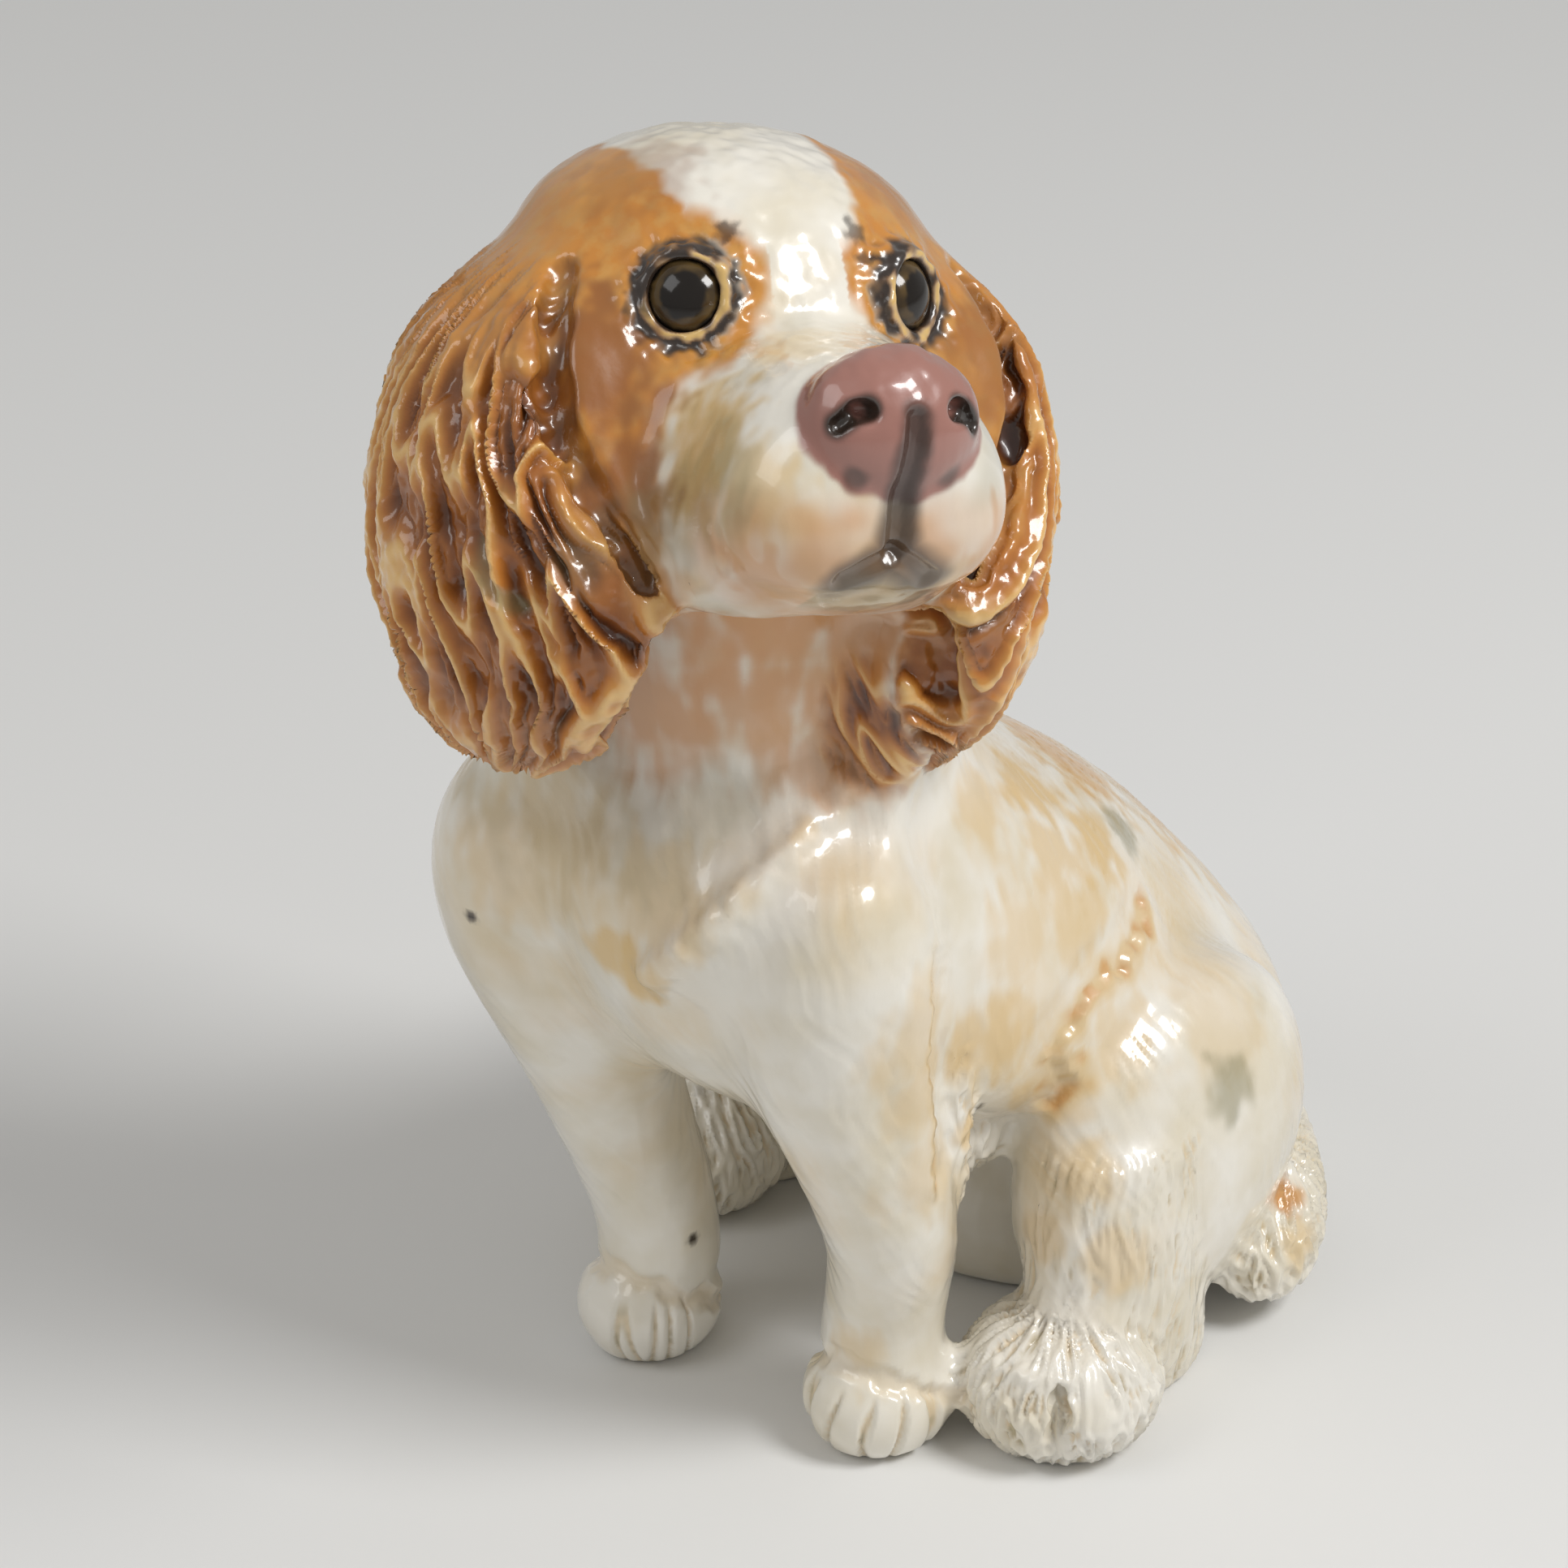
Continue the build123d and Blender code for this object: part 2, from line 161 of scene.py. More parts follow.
class Field:
    """Grid of values whose corner is at a whole number of steps."""

    def __init__(self, corner, values):
        self.corner = np.asarray(corner)
        self.values = values

    def at(self, points, slopes=False):
        """Value, and slope if asked for, by a quadratic spline."""
        shape = np.array(self.values.shape)
        place = points / STEP - self.corner
        base = np.clip(np.rint(place).astype(np.int64), 1, shape - 2)
        t = np.clip(place - base, -0.5, 0.5)
        weights = np.stack([0.5 * (0.5 - t) ** 2, 0.75 - t * t, 0.5 * (0.5 + t) ** 2])
        rates = np.stack([t - 0.5, -2 * t, t + 0.5])
        flat = self.values.ravel()
        value = np.zeros(len(points))
        slope = np.zeros((len(points), 3))
        for i in range(3):
            for j in range(3):
                row = ((base[:, 0] + i - 1) * shape[1] + base[:, 1] + j - 1) * shape[2] + base[:, 2] - 1
                three = [flat[row + k] for k in range(3)]
                along = sum(weights[k][:, 2] * three[k] for k in range(3))
                value += weights[i][:, 0] * weights[j][:, 1] * along
                if slopes:
                    slope[:, 0] += rates[i][:, 0] * weights[j][:, 1] * along
                    slope[:, 1] += weights[i][:, 0] * rates[j][:, 1] * along
                    rise = sum(rates[k][:, 2] * three[k] for k in range(3))
                    slope[:, 2] += weights[i][:, 0] * weights[j][:, 1] * rise
        if slopes:
            return value, slope / STEP
        return value


def node_mesh(node):
    mesh = frame["nodes"][node].data
    mesh.calc_loop_triangles()
    points = np.empty(len(mesh.vertices) * 3, np.float32)
    mesh.vertices.foreach_get("co", points)
    faces = np.empty(len(mesh.loop_triangles) * 3, np.int32)
    mesh.loop_triangles.foreach_get("vertices", faces)
    return points.reshape(-1, 3) * np.float32(MM), faces.reshape(-1, 3)


def node_field(node):
    points, faces = node_mesh(node)
    transform = openvdb.createLinearTransform(voxelSize=STEP)
    grid = openvdb.FloatGrid.createLevelSetFromPolygons(
        points, triangles=faces, transform=transform, halfWidth=BAND)
    low = np.floor((points.min(0) - MARGIN) / STEP).astype(int)
    high = np.ceil((points.max(0) + MARGIN) / STEP).astype(int)
    values = np.empty(high - low + 1, np.float32)
    grid.copyToArray(values, ijk=tuple(int(v) for v in low))
    return Field(low, values)


HOLLOW = ("torso_shell", "neck", "head_shell")
EYES = ("left_eyeball", "right_eyeball")
NODES = sorted(frame["nodes"])
fields = {node: node_field(node) for node in NODES}

GRID_LOW = np.min([f.corner for f in fields.values()], 0)
GRID_HIGH = np.max([f.corner + f.values.shape for f in fields.values()], 0)
SHAPE = tuple(int(n + 1 - n % 2) for n in GRID_HIGH - GRID_LOW)


def window(field):
    start = field.corner - GRID_LOW
    return tuple(slice(a, a + n) for a, n in zip(start, field.values.shape))


def box_window(low, high):
    start = np.maximum(np.floor(np.array(low) / STEP).astype(int) - GRID_LOW, 0)
    stop = np.minimum(np.ceil(np.array(high) / STEP).astype(int) - GRID_LOW + 1, SHAPE)
    return tuple(slice(int(a), int(b)) for a, b in zip(start, stop))


def coordinates(part):
    """World coordinates of a window of the grid, as three arrays that spread over it."""
    axes = [(np.arange(s.start, s.stop) + GRID_LOW[i]).astype(np.float32) * STEP for i, s in enumerate(part)]
    return axes[0][:, None, None], axes[1][None, :, None], axes[2][None, None, :]


def turned(part, centre, axes):
    """Coordinates of a window measured from a centre along three directions."""
    x, y, z = (axis - np.float32(c) for axis, c in zip(coordinates(part), centre))
    axes = axes.astype(np.float32)
    return [axes[0, i] * x + axes[1, i] * y + axes[2, i] * z for i in range(3)]


def refined(values, count):
    """The same grid with more steps, straight lines between."""
    for axis in range(3):
        n = values.shape[axis]
        place = np.arange(int((n - 1) * count) + 1) / count
        low = np.minimum(place.astype(int), n - 2)
        shape = [1, 1, 1]
        shape[axis] = -1
        t = (place - low).astype(np.float32).reshape(shape)
        values = np.take(values, low, axis) * (1 - t) + np.take(values, low + 1, axis) * t
    return values


def closed(values, unit, radius, reach):
    """Fills every crease that a ball of this radius can't enter; unit is the step of this grid."""
    grid = openvdb.FloatGrid(FAR)
    grid.copyFromArray(np.ascontiguousarray(values - np.float32(radius)))
    points, quads = grid.convertToQuads()
    transform = openvdb.createLinearTransform(voxelSize=1.0)
    level = openvdb.FloatGrid.createLevelSetFromPolygons(
        points, quads=quads, transform=transform, halfWidth=reach / unit)
    found = np.empty(values.shape, np.float32)
    level.copyToArray(found)
    return found * np.float32(unit) + np.float32(radius)


def blurred(values, passes):
    """Evens out a grid a little."""
    for _ in range(passes):
        for axis in range(3):
            padded = np.pad(values, [(1, 1) if i == axis else (0, 0) for i in range(3)], mode="edge")
            n = values.shape[axis]
            cut = [tuple(slice(i, i + n) if a == axis else slice(None) for a in range(3)) for i in range(3)]
            values = (padded[cut[0]] + 2 * padded[cut[1]] + padded[cut[2]]) / 4
    return values


def segment_offset(points, places):
    """Vectors to points from the nearest place on a broken line, FAR each way where it is far off."""
    best = np.full(points.shape, FAR)
    for a, b in zip(places, places[1:]):
        a, b = np.array(a, float), np.array(b, float)
        t = np.clip((points - a) @ (b - a) / ((b - a) @ (b - a)), 0, 1)
        found = points - a - t[:, None] * (b - a)
        closer = (found * found).sum(1) < (best * best).sum(1)
        best[closer] = found[closer]
    return best


def segment_gap(points, places):
    """Distance of points from a broken line, in the plane or in space."""
    return np.linalg.norm(segment_offset(points, places), axis=1)


# The pressed-together body

# Radii of the creases that are filled, and how far round them the distance is worked out
CRACK = 0.3
SLIGHT, SOFT, DEEP = 1.2, 4.0, 9.0
NEAR_REACH, WIDE_REACH, SPARE_REACH = 6.0, 16.0, 5.0
BLUR_PASSES = 2
HEAD_BOX = ((-45, -60, 84), (45, 22, 152))

# Where the slip goes deeper, all but the belly and the seat: each pair says where a mask rises or falls
BELLY_FRONT, BELLY_BACK, BELLY_TOP, BELLY_SIDE = (-26.0, -20.0), (2.0, 10.0), (48.0, 58.0), (24.0, 29.0)
SEAT_FRONT, SEAT_TOP = (14.0, 20.0), (20.0, 28.0)
TRUNK_FOOT, TRUNK_TOP = (9.0, 17.0), (92.0, 100.0)
CHEST_FOOT, CHEST_BACK = (34.0, 48.0), (-30.0, -24.0)
SHOULDER_FOOT, SHOULDER_BACK, SHOULDER_TOP = (60.0, 74.0), (-4.0, 8.0), (82.0, 92.0)
EAR_SIDE, EAR_FRONT, EAR_FOOT = (13.0, 17.0), (14.0, 20.0), (-44.0, -38.0)
ROOT_SIDE, ROOT_FRONT, ROOT_FOOT = (11.0, 15.0), (8.0, 14.0), (-8.0, 2.0)


def between(inside):
    """Cells with inside cells before and after them along all three axes."""
    found = np.ones(inside.shape, bool)
    for axis in range(3):
        found &= np.logical_or.accumulate(inside, axis)
        found &= np.flip(np.logical_or.accumulate(np.flip(inside, axis), axis), axis)
    return found


def pressed_together():
    """Distance from the nearest solid, with the empty hollows filled."""
    touching = np.full(SHAPE, FAR, np.float32)
    walls = np.full(SHAPE, FAR, np.float32)
    for node in NODES:
        part = window(fields[node])
        touching[part] = np.minimum(touching[part], fields[node].values)
        if node in HOLLOW:
            walls[part] = np.minimum(walls[part], fields[node].values)
    hollow = between(walls < 0) & (touching > 0)
    touching[hollow] = -FAR
    for node in HOLLOW:
        part = window(fields[node])
        mine = hollow[part] & (fields[node].values <= walls[part])
        fields[node].values[mine] = -FAR
        hollow[part] &= ~mine
    return touching


def joined_body():
    """One skin over all pieces, with the slip worked into the creases more or less deeply."""
    touching = pressed_together()
    coarse = closed(touching[::2, ::2, ::2], 2 * STEP, CRACK, WIDE_REACH)
    soft, deep = (
        refined(closed(coarse, 2 * STEP, radius, radius + SPARE_REACH), 2) for radius in (SOFT, DEEP)
    )
    skin = closed(closed(touching, STEP, CRACK, NEAR_REACH), STEP, SLIGHT, NEAR_REACH)
    x, y, z = coordinates(tuple(slice(0, n) for n in SHAPE))
    belly = smoothstep(*BELLY_FRONT, y) * falling(*BELLY_BACK, y) * falling(*BELLY_TOP, z)
    belly = belly * falling(*BELLY_SIDE, np.abs(x))
    apart = np.maximum(smoothstep(*SEAT_FRONT, y) * falling(*SEAT_TOP, z), belly)
    trunk = smoothstep(*TRUNK_FOOT, z) * falling(*TRUNK_TOP, z) * (1 - apart)
    skin = lerp(skin, soft, trunk.astype(np.float32))
    chest = smoothstep(*CHEST_FOOT, z) * falling(*CHEST_BACK, y)
    shoulders = np.maximum(chest, smoothstep(*SHOULDER_FOOT, z) * falling(*SHOULDER_BACK, y))
    shoulders = shoulders * falling(*SHOULDER_TOP, z)
    skin = lerp(skin, deep, shoulders.astype(np.float32))
    part = box_window(*HEAD_BOX)
    side, ahead, up = turned(part, HEAD_CENTRE, HEAD_AXES)
    ears = smoothstep(*EAR_SIDE, np.abs(side)) * falling(*EAR_FRONT, ahead) * smoothstep(*EAR_FOOT, up)
    skin[part] = lerp(skin[part], soft[part], ears)
    roots = smoothstep(*ROOT_SIDE, np.abs(side)) * falling(*ROOT_FRONT, ahead) * smoothstep(*ROOT_FOOT, up)
    skin[part] = lerp(skin[part], deep[part], roots)
    return blurred(skin, BLUR_PASSES)


surface = joined_body()


def ellipsoid_distance(x, y, z, radii):
    rx, ry, rz = radii
    a = np.sqrt((x / rx) ** 2 + (y / ry) ** 2 + (z / rz) ** 2)
    b = np.sqrt((x / rx ** 2) ** 2 + (y / ry ** 2) ** 2 + (z / rz ** 2) ** 2)
    return a * (a - 1) / np.maximum(b, 1e-6)


def work_in(part, gap, k, cut):
    """Joins a shape to the clay or cuts it out, rounded over about k."""
    gap, k = gap.astype(np.float32), np.float32(k)
    surface[part] = soft_max(surface[part], -gap, k) if cut else soft_min(surface[part], gap, k)


def lump(centre, radii, k, axes=np.eye(3), cut=False):
    """Adds an ellipsoid of clay, or presses one out."""
    reach = max(radii) + k + 2
    part = box_window(np.array(centre) - reach, np.array(centre) + reach)
    work_in(part, ellipsoid_distance(*turned(part, centre, axes), radii), k, cut)


def head_lump(place, radii, k, cut=False):
    lump(from_head(place), radii, k, HEAD_AXES, cut)


def rod(start, end, radius, k, cut=True):
    """Presses a groove along a line, or adds a ridge."""
    start, end = np.array(start, float), np.array(end, float)
    reach = radius + k + 2
    part = box_window(np.minimum(start, end) - reach, np.maximum(start, end) + reach)
    x, y, z = (axis - c for axis, c in zip(coordinates(part), start))
    d = end - start
    t = np.clip((x * d[0] + y * d[1] + z * d[2]) / (d @ d), 0, 1)
    gap = np.sqrt((x - t * d[0]) ** 2 + (y - t * d[1]) ** 2 + (z - t * d[2]) ** 2) - radius
    work_in(part, gap, k, cut)


def line(places, radius, k, cut=True):
    for a, b in zip(places, places[1:]):
        rod(a, b, radius, k, cut)


def ring(centre, aim, major, minor, k):
    """Adds a thin roll of clay laid in a circle."""
    reach = major + minor + k + 2
    part = box_window(centre - reach, centre + reach)
    x, y, z = (axis - c for axis, c in zip(coordinates(part), centre))
    height = x * aim[0] + y * aim[1] + z * aim[2]
    out = np.sqrt(np.maximum(x * x + y * y + z * z - height * height, 0))
    work_in(part, np.sqrt((out - major) ** 2 + height ** 2) - minor, k, False)


# Places in the head's own directions, on its left
EYE_DISH_RADIUS, EYE_DISH_AHEAD, EYE_DISH_SOFT = 7.0, 8.73, 0.8
LID_RADIUS, LID_ROLL, LID_AHEAD, LID_SOFT = 4.15, 0.65, 3.4, 0.5
EAR_GROOVE = [
    (21.8, 7.5, 7.0), (23.8, 11.0, 2.0), (24.8, 14.0, -4.0), (24.4, 16.3, -9.0), (22.4, 18.6, -13.0),
    (20.0, 20.7, -17.5), (17.6, 21.6, -21.7),
]
EAR_HOLLOW = [(14.6, 19.3, -28.0), (15.0, 19.0, -32.0), (17.0, 17.7, -38.0)]
NOSTRIL = [(4.4, 42.4, -2.2), (5.8, 42.2, -2.7), (6.8, 41.2, -3.9)]
# Place, radii and softness of the clay added to the cheeks and lips, and of what is pressed out of a nostril
FACE_LUMPS = (
    ((16.0, 7.0, -7.0), (9.5, 10, 12), 6.0), ((13.5, 13.0, -18.0), (6, 8, 9), 5.0),
    ((7.0, 31.0, -13.5), (7.5, 9, 7.5), 4.0), ((8.0, 21.0, -16.5), (8, 10, 8.5), 4.0),
)
NOSTRIL_PIT = ((5.0, 43.5, -2.4), (1.5, 3.2, 1.2), 0.6)
# Where a groove runs, its radius and its softness
FACE_GROOVES = ((EAR_GROOVE, 1.5, 1.5), (EAR_HOLLOW, 3.5, 2.0), (NOSTRIL[1:], 0.8, 0.8))

# Places in the frame
THROAT_LUMPS = (((15.0, -20.5, 93.0), (4.5, 3.5, 9), 5.0), ((19.0, -19.0, 95.5), (4, 3.5, 7), 4.0))
TOE_SPLIT = [(36.3, -12.6, 11.0), (37.4, -14.4, 6.0), (36.8, -13.6, 1.0)]
TOE_RADIUS, TOE_SOFT = 1.2, 0.8
VENT = (0.0, 31.9)
VENT_RADIUS, VENT_TOP, VENT_SOFT = 3.5, 2.0, 0.3


def eye_axis(sign):
    mirror = np.array([sign, 1, 1])
    return from_head(EYE_PLACE * mirror), HEAD_AXES @ (EYE_AIM * mirror)


def press_face():
    for sign in SIDES.values():
        mirror = np.array([sign, 1, 1])
        for place, radii, k in FACE_LUMPS:
            head_lump(mirror * place, radii, k)
        place, radii, k = NOSTRIL_PIT
        head_lump(mirror * place, radii, k, cut=True)
        centre, aim = eye_axis(sign)
        lump(centre + aim * EYE_DISH_AHEAD, [EYE_DISH_RADIUS] * 3, EYE_DISH_SOFT, cut=True)
        ring(centre + aim * LID_AHEAD, aim, LID_RADIUS, LID_ROLL, LID_SOFT)
        for places, radius, k in FACE_GROOVES:
            line([from_head(mirror * p) for p in places], radius, k)


def press_body():
    for place, radii, k in THROAT_LUMPS:
        lump(place, radii, k)
    line(TOE_SPLIT, TOE_RADIUS, TOE_SOFT)
    rod((*VENT, -VENT_RADIUS), (*VENT, VENT_TOP), VENT_RADIUS, VENT_SOFT)


press_face()
floor_gap = -(np.arange(SHAPE[2]) + GRID_LOW[2]).astype(np.float32) * STEP
surface = np.maximum(surface, floor_gap[None, None, :])
press_body()
whole = Field(GRID_LOW, surface)


SETTLING = 6
LEAST_SQUARE = 0.25


def settled(place):
    """The place moved on to the surface."""
    point = np.array([place], float)
    for _ in range(SETTLING):
        value, slope = whole.at(point, True)
        square = np.maximum((slope * slope).sum(1, keepdims=True), LEAST_SQUARE)
        point = point - slope * value[:, None] / square
    return point[0]


# Nearest and second nearest piece of every cell, so that each piece keeps its own share of the surface
nearest = np.full(SHAPE, FAR, np.float32)
second = np.full(SHAPE, FAR, np.float32)
owner = np.full(SHAPE, -1, np.int8)
for index, node in enumerate(NODES):
    part = window(fields[node])
    values = fields[node].values
    closer = values < nearest[part]
    second[part] = np.where(closer, nearest[part], np.minimum(second[part], values))
    nearest[part] = np.where(closer, values, nearest[part])
    owner[part] = np.where(closer, np.int8(index), owner[part])

# Clay out of reach of every piece belongs to the torso
lost = nearest >= FAR
nearest[lost] = FAR - 2 * RIM
owner[lost] = NODES.index("torso_shell")
fields["torso_shell"].values[lost[window(fields["torso_shell"])]] = FAR - 2 * RIM


CRUMB = 100


def without_crumbs(points, quads):
    """The mesh without loose parts of less than CRUMB quads."""
    label, settling = np.arange(len(points)), True
    while settling:
        lower = label.copy()
        np.minimum.at(lower, quads.ravel(), np.repeat(label[quads].min(1), 4))
        lower = lower[lower]
        settling = (lower != label).any()
        label = lower
    part = label[quads[:, 0]]
    quads = quads[np.bincount(part, minlength=len(points))[part] >= CRUMB]
    used, quads = np.unique(quads, return_inverse=True)
    return points[used], quads.reshape(-1, 4)


def piece_surface(node, fineness):
    """Quads of one piece; its rim runs on a little under its neighbours."""
    field = fields[node]
    part = window(field)
    others = np.where(owner[part] == NODES.index(node), second[part], nearest[part])
    beyond = field.values - others
    solid = np.maximum(surface[part] + RIM_DEPTH * np.maximum(beyond, 0) ** 2, beyond - RIM)
    solid = np.pad(solid, 1, constant_values=FAR)
    fine = refined(solid, fineness) if fineness != 1 else solid
    grid = openvdb.FloatGrid(FAR)
    grid.copyFromArray(np.ascontiguousarray(fine, np.float32))
    points, quads = without_crumbs(*grid.convertToQuads())
    points = (points / fineness + field.corner - 1) * STEP
    return points.astype(float), quads, Field(field.corner, beyond)


FLATTEST = 0.05
LONGEST_MOVE = 0.8


def on_surface(points, value, slope):
    """Points moved on to the smooth outer surface, with its directions."""
    for turns_left in (1, 0):
        square = np.maximum((slope * slope).sum(1), FLATTEST)
        points = points - slope * np.clip(value / square, -LONGEST_MOVE, LONGEST_MOVE)[:, None]
        if turns_left:
            value, slope = whole.at(points, True)
    return points, slope / np.maximum(np.linalg.norm(slope, axis=1, keepdims=True), 1e-6)


def face_normals(points, quads, counted):
    """Directions of a mesh's corners, from those faces that count."""
    a, b, c, d = (points[quads[:, i]] for i in range(4))
    normal = np.cross(c - a, d - b)
    total = np.zeros_like(points)
    weight = np.where(counted, 1.0, 1e-6)[:, None]
    for i in range(4):
        for axis in range(3):
            total[:, axis] += np.bincount(quads[:, i], (normal * weight)[:, axis], len(points))
    return total / np.maximum(np.linalg.norm(total, axis=1, keepdims=True), 1e-12)


# Carving and painting

# Kinds of paint; ochre, brown, smoke and ink also carry painted shade
PAINTS = ("ochre_and_shade", "patch", "brown_and_shade", "hair", "ridge", "blush", "smoke_and_shade", "mauve", "ink_and_shade", "iris")
# Size and seed of the two noises that make edges ragged; the second is drawn out along the height
SPECKLE = (3.0, 41)
STREAK = (2.5, 43)
DRAWN_OUT = np.array([1, 1, 0.3])


class Skin:
    """Places on the outside of the figure, how far they are carved, and what is painted on them."""

    def __init__(self, points):
        self.points = points
        self.head = to_head(points)
        self.depth = np.zeros(len(points))
        self.paint = {name: np.zeros(len(points)) for name in PAINTS}
        self.paint["ridge"] += 1
        self.speckle = cloud(points, *SPECKLE)
        self.streak = cloud(points * DRAWN_OUT, *STREAK)

    def add(self, name, amount, chosen=slice(None)):
        self.paint[name][chosen] = np.maximum(self.paint[name][chosen], amount)

    def lower(self, name, amount, chosen=slice(None)):
        self.paint[name][chosen] = np.minimum(self.paint[name][chosen], amount)


def distance(node, points):
    """Distance of places from a solid, FAR beyond its grid."""
    field = fields[node]
    place = points / STEP - field.corner
    inside = ((place > 1) & (place < np.array(field.values.shape) - 2)).all(1)
    found = np.full(len(points), FAR)
    found[inside] = field.at(points[inside])
    return found


def strands(across, along, width, length, seed):
    """Height of carved hair: sharp ridges of 1 between scooped hollows of 0, with finer hair in them."""
    plane = np.stack([across, along, np.full(len(across), seed * 1.7)], 1)
    plane[:, 0] += 1.3 * noise(plane / np.array([9, 8, 1]), seed)
    wide = np.abs(noise(plane / np.array([width, length, 1]), seed + 1))
    narrow = np.abs(noise(plane / np.array([width * 0.5, length * 0.6, 1]), seed + 2))
    crest = falling(0.0, 0.45, wide) ** 1.4
    return np.maximum(crest, 0.5 * falling(0.0, 0.45, narrow))


def slits(across, along, width, length, seed):
    """Height of smooth clay with a few cuts: 0 in a cut, else 1."""
    plane = np.stack([across, along, np.full(len(across), seed * 1.7)], 1)
    return smoothstep(0.0, 0.16, np.abs(noise(plane / np.array([width, length, 1]), seed)))


EAR_BACK = 2.64
# Heights in the head, and the degrees over which an ear spreads there
EAR_SPREAD = np.array([
    (12.5, 22), (9.5, 25), (5.1, 28), (-2.0, 32), (-12.0, 39), (-20.0, 49), (-28.0, 56), (-35.0, 52),
    (-40.0, 39), (-43.5, 21),
])[::-1]
EAR_SEEDS = {"left": 11, "right": 23}
EAR_WIDTH, EAR_TILT = 26, 0.7
EAR_STRAND = (2.9, 13.0)
EAR_RIDGE, EAR_SINK, EAR_RAGGED = 2.2, 1.4, 0.25
EAR_BARE_RIDGE, EAR_BLUSH = 0.6, 0.35


def carve_ears(skin):
    """Long locks down the ears, ragged at their edges."""
    for side, sign in SIDES.items():
        near = falling(0.6, 2.0, distance(side + "_ear", skin.points) + 0.4 * skin.speckle)
        chosen = near > 0
        if not chosen.any():
            continue
        near, speckle, local = near[chosen], skin.speckle[chosen], skin.head[chosen]
        up = local[:, 2]
        angle = np.degrees(np.arctan2(local[:, 1] + EAR_BACK, local[:, 0] * sign))
        across = angle / np.interp(up, EAR_SPREAD[:, 0], EAR_SPREAD[:, 1])
        reach = np.hypot(local[:, 1] + EAR_BACK, local[:, 0])
        height = strands(across * EAR_WIDTH + EAR_TILT * reach, up, *EAR_STRAND, EAR_SEEDS[side])
        mask = near * falling(-6.0, 10.0, up + 2 * speckle)
        mask = mask * (1 - smoothstep(0.94, 1.02, across) * smoothstep(-20.0, -14.0, up))
        ragged = EAR_RAGGED * noise(skin.points[chosen] / 1.1, 29)
        skin.depth[chosen] += mask * (EAR_RIDGE * height - EAR_SINK + ragged)
        skin.add("patch", near, chosen)
        skin.add("hair", mask, chosen)
        skin.lower("ridge", lerp(EAR_BARE_RIDGE, height, mask), chosen)
        edge = falling(-40.0, -33.0, up + 2 * speckle)
        skin.add("blush", EAR_BLUSH * edge * near, chosen)


THROAT, THROAT_RADII = np.array([16, -20.5, 93]), np.array([7.5, 6, 10.5])
THROAT_SLANT = (0.8, 0.5, 0.35)
THROAT_STRAND, THROAT_SEED = (2.4, 9.0), 31
THROAT_RIDGE, THROAT_SINK = 0.9, 0.6


def carve_throat(skin):
    """Hair of the left ear that lies on the throat."""
    gap = np.linalg.norm((skin.points - THROAT) / THROAT_RADII, axis=1)
    mask = falling(0.75, 1.05, gap + 0.1 * skin.speckle)
    chosen = mask > 0
    if chosen.any():
        p, mask = skin.points[chosen], mask[chosen]
        across = sum(p[:, axis] * part for axis, part in enumerate(THROAT_SLANT))
        height = strands(across, p[:, 2], *THROAT_STRAND, THROAT_SEED)
        skin.depth[chosen] += mask * (THROAT_RIDGE * height - THROAT_SINK)
        skin.add("hair", mask, chosen)
        skin.lower("ridge", lerp(1, height, mask), chosen)


# Kind of groove, its width, length and depth, and how high up it goes
TUFTS = {
    "left_forepaw": (slits, 4.2, 18.0, 0.8, 10.0), "right_forepaw": (slits, 4.2, 18.0, 0.6, 10.0),
    "left_hind_paw": (strands, 1.7, 4.5, 0.9, 30.0), "right_hind_paw": (strands, 1.7, 4.5, 0.9, 30.0),
    "left_shank": (strands, 1.6, 8.0, 0.4, 36.0), "right_shank": (strands, 1.6, 8.0, 0.4, 36.0),
    "tail": (strands, 1.6, 4.0, 0.9, 40.0), "belly_tuft": (strands, 2.2, 4.0, 0.7, 60.0),
    "left_elbow_feather": (strands, 2.0, 3.5, 0.6, 90.0),
    "right_elbow_feather": (strands, 2.0, 3.5, 0.6, 90.0),
}
TUFT_SEED, TUFT_SEED_STEP = 60, 5
TUFT_LEVEL = 0.7
TUFT_OCHRE, TUFT_SMOKE = 0.45, 0.6


def carve_tufts(skin):
    """Short grooves round the paws, the tail and the ragged edges."""
    for index, (node, (kind, width, length, deep, top)) in enumerate(TUFTS.items()):
        gap = distance(node, skin.points)
        mask = falling(0.3, 1.8, gap) * falling(top - 3, top, skin.points[:, 2])
        chosen = mask > 0
        if not chosen.any():
            continue
        low, high = (np.array(corner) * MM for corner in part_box(node))
        middle = (low + high) / 2
        p = skin.points[chosen] - middle
        across = np.arctan2(p[:, 0], -p[:, 1]) * (high - low)[:2].mean() / 2
        height = kind(across, p[:, 2], width, length, TUFT_SEED + TUFT_SEED_STEP * index)
        skin.depth[chosen] += mask[chosen] * deep * (height - TUFT_LEVEL)
        stain = mask[chosen] * falling(0.0, 0.4, height)
        skin.add("ochre_and_shade", TUFT_OCHRE * stain, chosen)
        skin.add("smoke_and_shade", TUFT_SMOKE * stain * smoothstep(0.0, 0.6, skin.speckle[chosen]), chosen)


ANKLE_HEIGHT, ANKLE_RISE, ANKLE_RAGGED = 8.0, 4.0, 1.2
ANKLE_DEPTH, ANKLE_OCHRE = 0.65, 0.25


